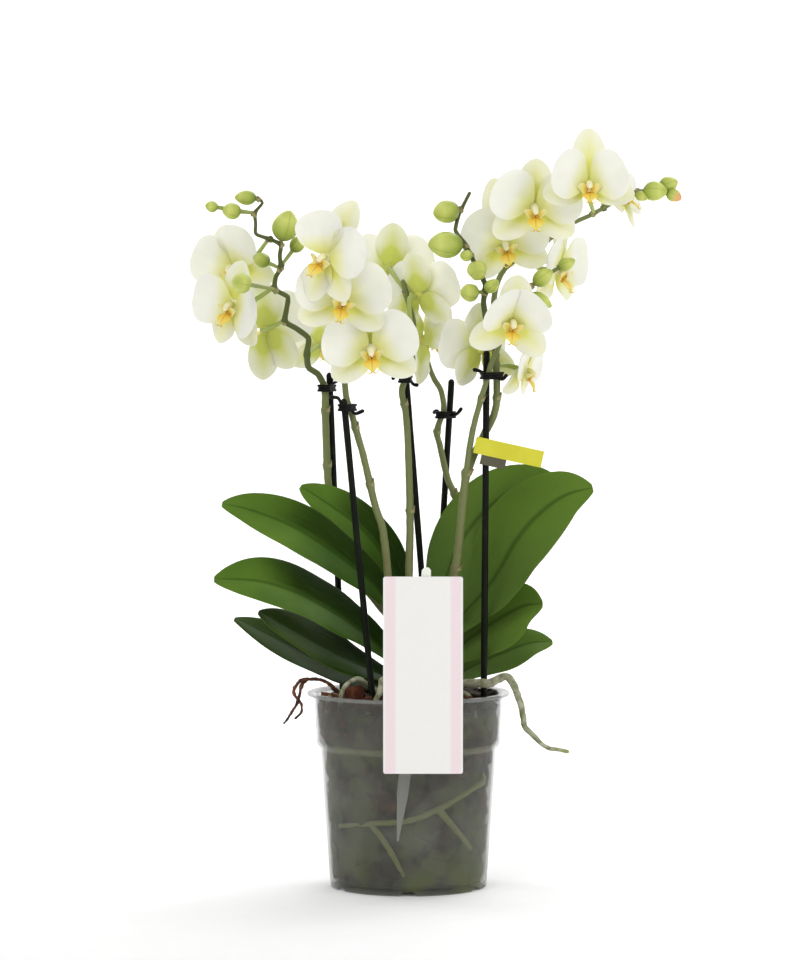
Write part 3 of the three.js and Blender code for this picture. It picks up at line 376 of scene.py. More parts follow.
def blade(form, surface, rows, columns, thickness, tone=0.0):
    """A thin closed sheet over surface(u, v): u from root to tip, v from -1 to 1 across."""
    nudge = 0.004
    front = [2 * step / columns - 1 for step in range(columns + 1)]
    loop = [(v, 0.0) for v in front] + [(v, 1.0) for v in front[-2:0:-1]]
    rings = []
    levels = []
    for row in range(rows + 1):
        u = min(1 - 2 * nudge, max(2 * nudge, 0.5 - 0.5 * math.cos(math.pi * row / rows)))
        ring = []
        for v, face in loop:
            onward = surface(u + nudge, v) - surface(u - nudge, v)
            sideways = surface(u, v + nudge) - surface(u, v - nudge)
            normal = onward.cross(sideways).normalized()
            half = thickness / 2 * (BLADE_EDGE + (1 - BLADE_EDGE) * math.sqrt(1 - v * v))
            ring.append(surface(u, v) + normal * (half if face == 0 else -half))
        rings.append(ring)
        levels.append(u)
    form.loft(rings, levels, [v for v, _ in loop], [face for _, face in loop], tone)


print("a blade thins to", BLADE_EDGE, "of its thickness at the edge")


# %% Pieces
def piece(name, form, material, stands_for=(), sharp=70):
    """Makes the form an object in metres, on the one body that the pot and plant are."""
    mesh = bpy.data.meshes.new(name)
    mesh.from_pydata([place * MM for place in form.places], [], form.faces)
    for mark, values in form.marks.items():
        mesh.attributes.new(mark, "FLOAT", "POINT").data.foreach_set("value", values)
    turned_out = bmesh.new()
    turned_out.from_mesh(mesh)
    bmesh.ops.recalc_face_normals(turned_out, faces=turned_out.faces)
    turned_out.to_mesh(mesh)
    turned_out.free()
    mesh.materials.append(material)
    mesh.shade_smooth()
    mesh.set_sharp_from_angle(angle=math.radians(sharp))
    made = bpy.data.objects.new(name, mesh)
    scene.collection.objects.link(made)
    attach(made, "root")
    if stands_for:
        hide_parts(*stands_for)
    return made


print("a piece rides on the body root")

# %% [markdown]
# ## The floor
# The sweep is one strip: flat under the pot, then curling up behind. It isn't part of the plant.
# Its paper has a faint grain, like a studio roll.

# %% Floor
def sweep_finish():
    finish = Finish("studio sweep", {"Roughness": 0.9})
    grain = finish.noise(60, 2)
    return finish.shade(
        base_color=finish.blend(grain, tint(250, 250, 250), tint(254, 254, 254)),
        normal=finish.bump(grain, 0.02, 0.001),
    )


def floor_profile():
    """Places from the front of the floor to the top of the backdrop, as (y, z)."""
    curl = [(FLOOR_BACK + FLOOR_CURL * math.sin(turn), FLOOR_CURL * (1 - math.cos(turn)))
            for turn in (math.pi / 2 * step / 12 for step in range(13))]
    return [(FLOOR_FRONT, 0), *curl, (FLOOR_BACK + FLOOR_CURL, 4 * FLOOR_CURL)]


def floor():
    corners = [(side * FLOOR_HALF_WIDTH, y, z) for y, z in floor_profile() for side in (-1, 1)]
    mesh = bpy.data.meshes.new("sweep")
    strips = [(row, row + 1, row + 3, row + 2) for row in range(0, len(corners) - 2, 2)]
    mesh.from_pydata(corners, [], strips)
    mesh.materials.append(sweep_finish())
    mesh.shade_smooth()
    sweep = bpy.data.objects.new("sweep", mesh)
    scene.collection.objects.link(sweep)


floor()
print("floor from", FLOOR_FRONT, "to", FLOOR_BACK + FLOOR_CURL, "m")

# %% [markdown]
# ## The pot
# A nursery pot is blown or moulded from thin smoky plastic: a flat rim, an upright collar, a small
# step and a tapered wall on a foot ring with drain notches. It could be cut from a solid with
# Booleans. A profile turned round the axis is cleaner, and the notches are lifted out of its foot.
# About a third of what lies behind it shows through the plastic's smoke. Its finish uses Alpha for
# that, which the exported model keeps. A thin haze and a green bloom of algae at the foot vary it.

# %% Pot finish
def smoky_plastic():
    finish = Finish("smoky plastic", {"IOR": 1.49, "Specular IOR Level": 0.32})
    haze = finish.noise(42, 4, distortion=0.5)
    height = finish.coordinate("Z")
    # Painted highlight: the rim and the small step under the collar are painted paler, as where they catch
    # the light.
    rim = finish.rise(height, 0.1125, 0.1138)
    ledge_highlight = finish.rise(height, 0.0816, 0.0826) * finish.rise(height, 0.0866, 0.0854)
    algae = finish.rise(height, 0.034, 0.0) * finish.rise(finish.noise(38, 4), 0.42, 0.62)
    smoke = finish.ramp(haze, (0.3, tint(86, 87, 80)), (0.7, tint(116, 117, 111)))
    stained = finish.blend(algae * 0.7, smoke, tint(96, 106, 56))
    # The painted highlight goes on the step, then on the rim.
    ledge_highlighted = finish.blend(ledge_highlight * 0.45, stained, tint(150, 154, 124))
    return finish.shade(
        base_color=finish.blend(rim * 0.7, ledge_highlighted, tint(150, 151, 147)),
        roughness=haze * 0.12 + 0.2,
        alpha=0.33 + haze * 0.1 + rim * 0.2 + ledge_highlight * 0.1 + algae * 0.12,
        normal=finish.bump(haze, 0.05, 0.0008),
    )


print("pot finish ready")

# %% Pot sizes
POT = {
    "height": 115.5, "rim": 60, "rim_thickness": 1.8, "collar_top": 56.2, "collar_bottom": 54.4,
    "collar_z": 85.6, "shoulder_z": 82.6, "body_top": 51.9, "foot": 46.2, "wall": 1.3,
    "floor_under": 2.4, "floor_top": 4, "pad": 14, "notches": 6, "notch_width": 7, "notch_height": 2.6,
}
WALL_GAP = 0.6
STEP_ABOVE = 2
STEP_BELOW = 3


def outer_radius(z):
    """Radius of the pot's outside at a height."""
    if z >= POT["collar_z"]:
        share = (z - POT["collar_z"]) / (POT["height"] - POT["collar_z"])
        return mix(POT["collar_bottom"], POT["collar_top"], share)
    return mix(POT["foot"], POT["body_top"], min(1, z / POT["shoulder_z"]))


def inner_radius(z):
    return outer_radius(z) - POT["wall"]


def kept_inside(place, gap=WALL_GAP):
    """The place, or the nearest one that lies inside the pot's wall and above its floor."""
    z = max(place.z, POT["floor_top"] + gap)
    beside_step = POT["shoulder_z"] - STEP_BELOW < z < POT["collar_z"] + STEP_ABOVE
    limit = inner_radius(min(z, POT["height"])) - gap - WALL_GAP * beside_step
    reach = math.hypot(place.x, place.y)
    if reach > limit:
        return Vector((place.x * limit / reach, place.y * limit / reach, z))
    return Vector((place.x, place.y, z))


print("pot wall", POT["wall"], "mm thick, room inside at the top", 2 * inner_radius(POT["height"]), "mm")


# %% Pot
def turned(form, profile, sides, lift=None):
    """Turns (radius, height) places round the axis; lift(radius, height, turn) may raise a place."""
    rings = []
    for radius, z in profile:
        ring = []
        for step in range(sides):
            turn = 2 * math.pi * step / sides
            raised = lift(radius, z, turn) if lift else z
            ring.append(Vector((radius * math.cos(turn), radius * math.sin(turn), raised)))
        rings.append(ring)
    form.loft(rings)


def notched(radius, z, turn):
    """The foot ring's low edge steps up at each drain notch."""
    if radius < POT["foot"] - 4 or z > POT["notch_height"]:
        return z
    pitch = 2 * math.pi / POT["notches"]
    away = abs((turn % pitch) - pitch / 2) * POT["foot"]
    edge = POT["notch_width"] / 2
    share = min(1, max(0, edge + 0.5 - away))
    return max(z, POT["notch_height"] * share)


def pot():
    top = POT["height"]
    under = top - POT["rim_thickness"]
    round_rim = [(POT["rim"] - 0.5 + 0.5 * math.cos(turn), top - 0.9 + 0.9 * math.sin(turn))
                 for turn in (math.pi * (step / 8 - 0.5) for step in range(9))]
    profile = [
        (0.4, 0), (POT["pad"], 0), (POT["pad"] + 1, POT["floor_under"]),
        (POT["foot"] - 3.2, POT["floor_under"]), (POT["foot"] - 2.6, 0.3), (POT["foot"] - 2.2, 0),
        (POT["foot"] - 0.6, 0), (POT["foot"] - 0.1, 0.5), (outer_radius(2.7), 2.7), (outer_radius(6), 6),
        (outer_radius(40), 40), (outer_radius(81.6), 81.6), (POT["body_top"] + 0.3, 82.5),
        (POT["body_top"] + 1.9, 84.3), (POT["collar_bottom"] - 0.1, 85.5), (outer_radius(87), 87),
        (outer_radius(100), 100), (outer_radius(under) - 0.1, under - 0.6),
        (outer_radius(under) + 0.6, under),
        *round_rim,
        (inner_radius(top) + 0.8, top), (inner_radius(top), top - 0.8), (inner_radius(100), 100),
        (inner_radius(87), 87), (POT["body_top"] - POT["wall"] + 0.3, 83.5), (inner_radius(80), 80),
        (inner_radius(40), 40), (inner_radius(8), 8), (inner_radius(5) - 1.2, POT["floor_top"]),
        (20, POT["floor_top"]), (0.4, POT["floor_top"]),
    ]
    form = Form()
    turned(form, profile, 180, notched)
    piece("pot_shell", form, smoky_plastic(), ["pot"], sharp=50)


pot()
print("pot", 2 * POT["rim"], "mm across its rim")

# %% [markdown]
# ## Roots
# Orchid roots are fat and spongy. Dry ones look silver-grey, wet ones green, and their growing tips
# are smooth and bright. They creep over the bark and down inside the wall, where the pot presses
# them flat. One root has climbed over the rim and hangs outside; two old ones have dried brown.
# A tube along a smooth curve makes each one, with a slow swelling so that it doesn't look like wire.

# %% Root finishes
def root_finish(name, dark, pale, tip):
    finish = Finish(name, {"Specular IOR Level": 0.35})
    along = finish.mark("along")
    cloud = finish.noise(160, 5, distortion=0.4)
    fine = finish.noise(1100, 2)
    skin = finish.ramp(cloud, (0.35, dark), (0.68, pale))
    wet = finish.mark("tone") * (0.55 + finish.rise(cloud, 0.75, 0.4) * 0.4)
    damp = finish.blend(wet, skin, tint(188, 198, 112))
    return finish.shade(
        base_color=finish.blend(finish.rise(along, 0.93, 1) * 0.6, damp, tip),
        roughness=0.6 + fine * 0.3,
        normal=finish.bump(cloud * 0.5 + fine * 0.5, 0.35, 0.0006),
    )


print("root finish ready")

# %% Root routes
KNOT = Vector((5.7, 2, 99))
SHOULDER = {"out": 13, "z": 102}
ROOT_WALL_GAP = 0.9
ROOT_GAP = 0.25
ROOTS = [
    {"over": [(-9, -10, 112), (-21, -20, 119), (-30, -27, 125.5), (-38, -31, 120), (-40, -32, 106)],
     "radius": 1.8},
    {"over": [(2, -14, 112), (-8, -22, 121), (-15, -27, 125), (-17, -35, 118), (-24, -43, 104)],
     "radius": 2.2},
    {"over": [(-22, -6, 109), (-38, -9, 112), (-46, -18, 114.5), (-48, -19, 104)], "radius": 1.7},
    {"over": [(20, -14, 110), (29, -22, 117), (36, -29, 115), (39, -32, 104)], "radius": 1.6},
    {"over": [(-12, 16, 110), (-18, 34, 115), (-22, 42, 104)], "radius": 2},
    {"wall": [(44, 66), (35.7, 60.4), (17.1, 50.5), (-0.8, 44.2), (-22.2, 41.9), (-40, 37.8)], "radius": 2.1},
    {"fork": (17.1, 50.5), "wall": [(28, 37), (36, 25.6)], "radius": 2.2},
    {"fork": (-22.2, 41.9), "wall": [(-11.8, 28.5), (-3, 12)], "radius": 1.8},
    {"wall": [(-40, 70), (-20, 58), (2, 52), (24, 40), (38, 36)], "radius": 2.1, "behind": True},
    {"fork": (2, 52), "wall": [(-8, 34), (-22, 16)], "radius": 1.9, "behind": True},
]
AERIAL_ROOT = {
    "path": [(22, -9, 108), (27, -11, 117), (33.3, -16, 121.5), (42, -22, 122.4), (48.4, -24, 122.9),
             (53, -26, 125.4), (57, -28, 126.8), (60.8, -29, 123.7), (63.3, -30, 117.7), (66, -31, 110),
             (67.3, -31, 102.4), (68, -31, 98), (72.6, -31, 93.1), (77.9, -31, 87.8), (83.1, -30, 84.8),
             (88.4, -30, 84.2), (93.1, -29, 82.9)],
    "radii": (2.7, 2.7, 1.8, 1.1),
}
DRIED_ROOTS = [
    [(-36, -6, 108), (-43, -7, 117), (-49.3, -8, 122.3), (-56, -8, 123.6), (-61.4, -8, 123.8),
     (-64.5, -9, 122.4), (-67.7, -9, 117.1), (-66.7, -9, 113.6), (-64.4, -9, 110.9), (-63, -9, 107.1),
     (-63.5, -10, 103.7), (-66.7, -10, 100.5)],
    [(-60, -8, 123.7), (-62.8, -11, 120.5), (-64.2, -13.5, 115), (-65.6, -14, 110), (-68.6, -14, 104.7),
     (-70.7, -14, 101.4), (-73.3, -14, 98.2)],
]
print("root routes:", len(ROOTS), "in the pot,", len(DRIED_ROOTS), "dried")


# %% Roots
def against_wall(x, z, radius, behind):
    reach = inner_radius(z) - ROOT_WALL_GAP - radius
    depth = math.sqrt(max(0, reach * reach - x * x))
    return Vector((x, depth if behind else -depth, z))


def root_path(root):
    if "over" in root:
        outward = (Vector(root["over"][0]) - KNOT) * Vector((1, 1, 0))
        shoulder = KNOT + outward.normalized() * SHOULDER["out"]
        shoulder.z = SHOULDER["z"]
        return [KNOT, shoulder, *mm(root["over"])]
    behind = root.get("behind", False)
    along_wall = [against_wall(x, z, root["radius"], behind) for x, z in root["wall"]]
    start = against_wall(*root["fork"], root["radius"], behind) if "fork" in root else KNOT
    return [start, *along_wall]


def hanging_radius(share):
    radii = AERIAL_ROOT["radii"]
    part = min(len(radii) - 2, int(share * (len(radii) - 1)))
    return mix(radii[part], radii[part + 1], share * (len(radii) - 1) - part)


def roots():
    silver = root_finish("silver root", tint(112, 118, 80), tint(196, 194, 170), tint(150, 168, 84))
    brown = root_finish("dried root", tint(52, 30, 22), tint(128, 84, 60), tint(70, 48, 36))
    in_pot = Form()
    for root in ROOTS:
        path = smooth_path(root_path(root), 1.6)
        tube(
            in_pot, path, lambda share, root=root: root["radius"] * mix(1, 0.75, share), 12,
            tone=1.0 if "wall" in root else 0.0, rough=0.3,
        )
    in_pot.places = [kept_inside(place, ROOT_GAP) for place in in_pot.places]
    piece("pot_roots", in_pot, silver, ["roots"])
    hanging = Form()
    tube(hanging, smooth_path(mm(AERIAL_ROOT["path"]), 1.2), hanging_radius, 14, rough=0.22, grain=0.3)
    piece("hanging_root", hanging, silver, ["aerial_root"])
    dried = Form()
    for path in DRIED_ROOTS:
        tube(dried, smooth_path(mm(path), 0.8), lambda share: mix(1.25, 0.7, share), 9, rough=0.75, grain=0.5)
    piece("shrivelled_roots", dried, brown, ["dried_roots"])


roots()
print("roots:", len(ROOTS) + 1 + len(DRIED_ROOTS))

# %% [markdown]
# ## Bark
# Orchids don't grow in soil but in chips of pine bark: flat, torn blocks with a rough brown skin.
# A rigid-body simulation could drop them into the pot. Placing them by rule is quicker and gives
# the same heap each time: some lie in rings behind the see-through wall, pressed flat against it,
# and more cover the top, heaped higher at the back and darker where the leaves shade the right. A
# dark mossy core fills the rest and shows dimly through the wall. Each chip is a short loft whose
# corners run its whole length, so it looks split along its grain.

# %% Bark finish
def bark_finish():
    finish = Finish("bark", {"Specular IOR Level": 0.25})
    # The tone is a chip's own darkness, raised toward 0.95 as painted shade for the top chips to the right.
    depth_and_shade = finish.mark("tone")
    fibre = finish.noise(130, 3, distortion=1.2)
    fine = finish.noise(400, 3)
    brown = finish.ramp(
        fibre,
        (0.28, tint(34, 20, 13)), (0.5, tint(86, 48, 30)),
        (0.68, tint(122, 72, 46)), (0.85, tint(158, 112, 78)),
    )
    shadowy = finish.ramp(finish.noise(70, 4, distortion=1.0), (0.38, tint(8, 7, 5)), (0.6, tint(98, 86, 60)))
    height = finish.coordinate("Z")
    # Painted shade: above the rim the dark end goes near black, in the gaps between chips and where the
    # leaves shade the right.
    painted_top_shade = finish.blend(finish.rise(height, 0.102, 0.108) * 0.85, shadowy, tint(18, 13, 10))
    buried_and_shaded = finish.blend(depth_and_shade, brown, painted_top_shade)
    damp = finish.rise(height, 0.108, 0.102) * finish.rise(depth_and_shade, 0.1, 0.35)
    moss = finish.rise(finish.noise(46, 4), 0.44, 0.6) * damp * 0.75
    return finish.shade(
        base_color=finish.blend(moss, buried_and_shaded, tint(116, 126, 56)),
        roughness=0.75 + fine * 0.2,
        normal=finish.bump(fibre, 0.5, 0.0015),
    )


print("bark finish ready")

# %% Bark sizes
BARK = {
    "wall_from": 8, "wall_to": 104, "edge_top": 109.5, "middle_top": 112, "top_reach": 51.5,
    "heaped_behind": 4.5, "heap_turn": 0.3, "shade_width": 30, "seed": 11,
}
GOLDEN_ANGLE = 137.5
WALL_RINGS = 9
CHIPS_IN_RING = 20
TOP_CHIPS = 120
CHIP_CORNERS = 9
CHIP_LEVELS = ((-0.5, 0.5), (-0.46, 0.86), (-0.2, 1), (0.1, 0.97), (0.3, 1), (0.46, 0.84), (0.5, 0.45))
ROOT_ROOM = 8.5
WALL_ROOTS = [place for root in ROOTS if "wall" in root for place in smooth_path(root_path(root), 3)]
CORE = {
    "depth": 3.0, "lumps": 0.8, "bottom": 5, "top": 106, "rows": 44, "sides": 144,
    "crown": ((36, 106.5), (18, 107), (0.5, 107)),
}
STICK_ROOM = {"from": -6.5, "to": 0.5, "half": 12, "bottom": 26, "top": 92}
TALL_CHIPS = [
    {"at": (-31, -27, 113.5), "size": (12, 8, 18), "turn": 8},
    {"at": (-46, -15, 110), "size": (12, 9, 13), "turn": -20},
    {"at": (-9, -33, 110), "size": (14, 9, 12), "turn": 30},
    {"at": (33, -30, 110), "size": (13, 9, 12), "turn": -30},
    {"at": (-16, 26, 110), "size": (15, 10, 13), "turn": 60},
    {"at": (34, 16, 109), "size": (13, 9, 12), "turn": 100},
]
print("chips to lay:", WALL_RINGS * CHIPS_IN_RING, "at the wall,", TOP_CHIPS + len(TALL_CHIPS), "on top")


# %% Chips
def chip(form, at, size, turns, dice, tone):
    """One torn block of bark, size along, across and thick, turned about X, Y and Z."""
    length, width, thick = size
    frame_of_chip = Matrix.Translation(at)
    for axis, turn in zip("ZYX", reversed(turns)):
        frame_of_chip = frame_of_chip @ Matrix.Rotation(math.radians(turn), 4, axis)
    corners = []
    for step in range(CHIP_CORNERS):
        turn = 2 * math.pi * (step + dice.uniform(-0.3, 0.3)) / CHIP_CORNERS
        square = 1 / max(abs(math.cos(turn)), abs(math.sin(turn)))
        bulge = mix(1, square, 0.75) * dice.uniform(0.82, 1.05)
        corners.append((math.cos(turn) * bulge * width / 2, math.sin(turn) * bulge * thick / 2))
    rings = []
    for level, share in CHIP_LEVELS:
        ring = []
        for y, z in corners:
            rough = 1 + 0.16 * noise.noise(Vector((level * length, y, z)) * 0.35 + at)
            slant = level * length * (1 + 0.05 * y / width)
            ring.append(kept_inside(frame_of_chip @ Vector((slant, y * share * rough, z * share * rough))))
        rings.append(ring)
    form.loft(rings, tone=tone)


def hides_root(at):
    """Whether a chip would hide a root that runs down inside the wall."""
    return any((at - place).length < ROOT_ROOM for place in WALL_ROOTS)


def in_front_of_stick(at):
    """Whether a chip would hide the foot of the tag's stick, which shows through the wall."""
    share = (at.z - STICK_ROOM["bottom"]) / (STICK_ROOM["top"] - STICK_ROOM["bottom"])
    beside = abs(at.x - mix(STICK_ROOM["from"], STICK_ROOM["to"], share))
    return at.y < 0 and 0 < share < 1 and beside < STICK_ROOM["half"]


def wall_chips(form, dice):
    """Rings of chips that press against the inside of the wall."""
    for ring in range(WALL_RINGS):
        for step in range(CHIPS_IN_RING):
            turn = 2 * math.pi * (step + 0.5 * (ring % 2) + dice.uniform(-0.25, 0.25)) / CHIPS_IN_RING
            z = mix(BARK["wall_from"], BARK["wall_to"], (ring + dice.uniform(0.1, 0.9)) / WALL_RINGS)
            reach = inner_radius(z) - dice.uniform(2, 6)
            at = Vector((reach * math.cos(turn), reach * math.sin(turn), z))
            size = (dice.uniform(12, 22), dice.uniform(9, 15), dice.uniform(4, 8))
            turns = (90 + dice.uniform(-35, 35), dice.uniform(-50, 50), math.degrees(turn) + 90)
            if not in_front_of_stick(at) and not hides_root(at):
                chip(form, at, size, turns, dice, dice.uniform(0.15, 0.8))


def top_chips(form, dice):
    """Chips spread evenly over the top, heaped higher at the back and in shadow on the right."""
    for step in range(TOP_CHIPS):
        out = math.sqrt((step + 0.5) / TOP_CHIPS)
        turn = math.radians(step * GOLDEN_ANGLE)
        reach = out * BARK["top_reach"]
        z = mix(BARK["middle_top"], BARK["edge_top"], out) + dice.uniform(-2.5, 1.5)
        z += BARK["heaped_behind"] * out * max(0, math.sin(turn + BARK["heap_turn"]))
        at = Vector((reach * math.cos(turn), reach * math.sin(turn), z))
        size = (dice.uniform(9, 19), dice.uniform(6, 12), dice.uniform(3.5, 6.5))
        turns = (dice.uniform(-30, 30), dice.uniform(-30, 30), dice.uniform(0, 360))
        shadow = min(1, max(0, at.x / BARK["shade_width"]))
        chip(form, at, size, turns, dice, mix(dice.uniform(0, 0.5), 0.95, shadow))


print("a chip has", CHIP_CORNERS, "corners and", len(CHIP_LEVELS), "levels")


# %% Bark
def core(form):
    """The dark crumbly fill behind the chips, a few millimetres inside the wall all round."""
    levels = [mix(CORE["bottom"], CORE["top"], row / CORE["rows"]) for row in range(CORE["rows"] + 1)]
    side = [(inner_radius(z) - CORE["depth"], z) for z in levels]
    turned(form, [(0.5, CORE["bottom"]), *side, *CORE["crown"]], CORE["sides"])
    for number, place in enumerate(form.places):
        lump = noise.noise(place * 0.16) + 0.5 * noise.noise(place * 0.5)
        out = Vector((place.x, place.y, 0)).normalized()
        form.places[number] = kept_inside(place + out * lump * CORE["lumps"])
    form.marks["tone"] = [1.0] * len(form.places)


def bark():
    dice = random.Random(BARK["seed"])
    form = Form()
    core(form)
    wall_chips(form, dice)
    top_chips(form, dice)
    for tall in TALL_CHIPS:
        turns = (dice.uniform(-20, 20), dice.uniform(-20, 20), tall["turn"])
        chip(form, Vector(tall["at"]), tall["size"], turns, dice, 0.0)
    piece("bark_chips", form, bark_finish(), ["bark"], sharp=35)
    return form


print("bark corner points:", len(bark().places))

# %% [markdown]
# ## Leaves
# A moth orchid's leaf is a thick leathery strap, folded along its midrib, narrow where it leaves
# its sheath and widest past the middle. It could be modelled flat and bent with a Curve modifier.
# Here the midrib curve and a width rule give the surface directly: at every step a frame of side
# and upper directions is found, rolled a little to the front, and the blade is folded up from it.
# A leaf that runs to the left has its two edges mirrored, so that the blade's first face stays the
# upper one. The finish is a deep waxy green: the midrib groove is darkened with painted shade, fine
# veins run the length of the blade, and the underside is duller. The leaves to the left are painted
# darker toward the stem and dark above the midrib near it, as shade, and the two lowest of them are
# painted dark all over, as shade. Those to the right get a lighter, even green: painted light.

# %% Leaf finish
def leaf_finish():
    finish = Finish("leaf", {"IOR": 1.45, "Specular IOR Level": 0.035})
    along = finish.mark("along")
    across = finish.mark("across")
    under = finish.mark("face")
    number = finish.mark("tone")
    patch = finish.noise(26, 4)
    lines = finish.noise(1, 4, finish.vector(along * 7, across * 34, number * 9))
    # In the left-hand green, lightness darkens toward the stem as painted shade; the patches vary it at
    # random.
    lightness = patch * 0.55 + finish.rise(along, 0.1, 0.85) * 0.45
    left_green = finish.ramp(
        lightness, (0.12, tint(36, 60, 16)), (0.45, tint(60, 90, 28)), (0.8, tint(94, 126, 46)),
    )
    # Painted light: the leaves to the right get this lighter, nearly even green.
    young = finish.ramp(
        lightness, (0.12, tint(78, 104, 46)), (0.45, tint(84, 110, 46)), (0.8, tint(94, 124, 46)),
    )
    # youth is 1 for the leaves to the right, which take the lighter painted green.
    youth = finish.rise(number, 0.47, 0.57)
    lowest = finish.rise(abs(number - 0.28), 0.12, 0.07)
    # Painted shade: the left leaves darken above the midrib near the stem, and the two lowest darken all
    # over.
    shaded = finish.rise(across, 0.06, -0.22) * finish.rise(along, 0.86, 0.56)
    painted_shade = (1 - youth) * (shaded * 0.75 + (1 - shaded) * lowest * 0.65)
    green = finish.blend(painted_shade, finish.blend(youth, left_green, young), tint(12, 30, 4))
    veined = finish.blend(finish.rise(lines, 0.45, 0.75) * 0.2, green, tint(92, 120, 42))
    # Painted shade in the midrib groove on the upper face.
    groove = finish.rise(abs(across), 0.13, 0.0) * (1 - under)
    groove_shaded = finish.blend(groove * 0.5, veined, tint(26, 46, 10))
    rim = finish.rise(abs(across), 0.94, 1.0) * 0.35
    edged = finish.blend(rim, groove_shaded, tint(110, 130, 58))
    return finish.shade(
        base_color=finish.blend(under * 0.5, edged, tint(68, 88, 24)),
        roughness=0.36 + lines * 0.12 + under * 0.15,
        normal=finish.bump(lines * 0.6 + patch * 0.4, 0.16, 0.0009),
    )


print("leaf finish ready")

# %% Leaf midribs
LEAF_THICKNESS = 1.8
ROOT_FOLD = 2.6
ROOT_SHARE = 0.3
MIDRIB_SOFTNESS = 0.004
MIDRIB_LEVEL = 0.063
EDGE_WAVE = 0.9
LEAVES = {
    "left_1": {
        "midrib": [(-7.9, -2, 160), (-15, -4, 171), (-27.4, -6, 184.5), (-49.7, -8, 201.7), (-67.9, -8, 213),
                   (-93.2, -10, 223.1), (-110.7, -12, 227.3)],
        "width": 38, "roll": 46, "fold": 9,
    },
    "left_2": {
        "midrib": [(-9, -1, 134), (-25.6, -4, 148.5), (-37.3, -7, 157.5), (-51.4, -10, 166.5),
                   (-67.8, -14, 175.2), (-88.1, -18, 181.6), (-114.9, -22, 183.3)],
        "width": 44, "roll": 40, "fold": 9,
    },
    "left_3": {
        "midrib": [(-9, 0, 121.5), (-34.4, -8, 133.5), (-52, -12, 143), (-69.5, -16, 153.4),
                   (-88.7, -20, 164.3)],
        "width": 36, "roll": 36, "fold": 8,
    },
    "left_4": {
        "midrib": [(-9, 5, 114.5), (-37.5, 9, 124.5), (-54.7, 11, 132.5), (-74.3, 13, 142.5),
                   (-93.9, 13, 152.5), (-104.4, 12, 157.7)],
        "width": 32, "roll": 30, "fold": 8,
    },
    "left_5": {
        "midrib": [(-1, 9, 165), (-12.1, 15, 190), (-22.8, 17.5, 205), (-34.7, 17, 216), (-46.6, 14.5, 224.5),
                   (-58.4, 12, 232.6), (-64.9, 12, 236.8)],
        "width": 32, "roll": 56, "fold": 10,
    },
    "right_1": {
        "midrib": [(20.5, 0, 148.5), (33.4, 0, 162), (46.4, -1, 176), (55.2, -2, 189), (63.5, -3, 204),
                   (75.8, -4, 219), (92.3, -5, 231.5), (109.8, -6, 236.5)],
        "width": 52, "roll": 56, "fold": 10,
    },
    "right_2": {
        "midrib": [(15, 7, 161), (21, 10, 178), (28.5, 14, 198), (40, 18, 215), (55, 21, 229), (72, 24, 238),
                   (88, 26, 242)],
        "width": 40, "roll": 54, "fold": 8,
    },
    "right_3": {
        "midrib": [(20.5, 2, 133), (32.9, 2, 143.3), (42.3, 1, 150.4), (54.1, 0, 158.3), (68.8, -2, 166.1),
                   (79.9, -4, 167.5)],
        "width": 46, "roll": 52, "fold": 8,
    },
    "right_4": {
        "midrib": [(20.5, 4, 119.5), (42.4, 9, 131), (57.3, 12, 137), (72.2, 14, 142.3), (86.5, 15, 143.4)],
        "width": 34, "roll": 34, "fold": 8,
    },
}
print("leaves to grow:", ", ".join(LEAVES))


# %% Leaf surface
def leaf_outline(u):
    """Half width along a leaf: a narrow root, widest past the middle, and a blunt point."""
    widest = 0.58
    if u < widest:
        return mix(0.34, 1, math.sin(math.pi / 2 * u / widest) ** 1.1)
    return (1 - ((u - widest) / (1 - widest)) ** 2.1) ** 0.72


def leaf_frame(leaf, u):
    """The middle of the leaf at u, the way it runs, its side and its upper direction."""
    line = leaf["line"]
    part = min(len(line) - 2, int(u * (len(line) - 1)))
    share = u * (len(line) - 1) - part
    middle = line[part].lerp(line[part + 1], share)
    way_here = line[part + 1] - line[max(0, part - 1)]
    way_next = line[min(len(line) - 1, part + 2)] - line[part]
    along = way_here.normalized().lerp(way_next.normalized(), share).normalized()
    up = Vector((0, 0, 1))
    leftward = along.x < 0
    far = (along.cross(up) if leftward else up.cross(along)).normalized()
    above = (far.cross(along) if leftward else along.cross(far)).normalized()
    roll = math.radians(leaf["roll"])
    side = far * math.cos(roll) + above * math.sin(roll)
    upper = above * math.cos(roll) - far * math.sin(roll)
    return middle, along, side, upper


def leaf_surface(leaf):
    """The blade: folded most near its root, soft at the midrib, and waved a little at its edges."""
    fold = math.radians(leaf["fold"])
    phase = leaf["width"]
    mirror = -1 if leaf["line"][-1].x < leaf["line"][0].x else 1

    def surface(u, v):
        v = v * mirror
        middle, _, side, upper = leaf_frame(leaf, u)
        reach = leaf["width"] / 2 * leaf_outline(u) * v
        fold_here = fold * mix(ROOT_FOLD, 1, min(1, u / ROOT_SHARE))
        soft = math.sqrt(v * v + MIDRIB_SOFTNESS) - MIDRIB_LEVEL
        rise = soft * leaf["width"] / 2 * leaf_outline(u) * math.sin(fold_here)
        wave = EDGE_WAVE * v * abs(v) * math.sin(9 * u + phase) * math.sin(math.pi * u)
        return middle + side * reach * math.cos(fold_here) + upper * (rise + wave)

    return surface


print("a leaf's root is", round(leaf_outline(0), 2), "of its full width")


# %% Leaves
def leaves():
    green = leaf_finish()
    for number, (name, leaf) in enumerate(LEAVES.items()):
        leaf["line"] = smooth_path(mm(leaf["midrib"]), 2.0)
        form = Form()
        tone = number / len(LEAVES)
        blade(form, leaf_surface(leaf), rows=44, columns=22, thickness=LEAF_THICKNESS, tone=tone)
        piece(f"strap_{name}", form, green, [f"leaf_{name}"])


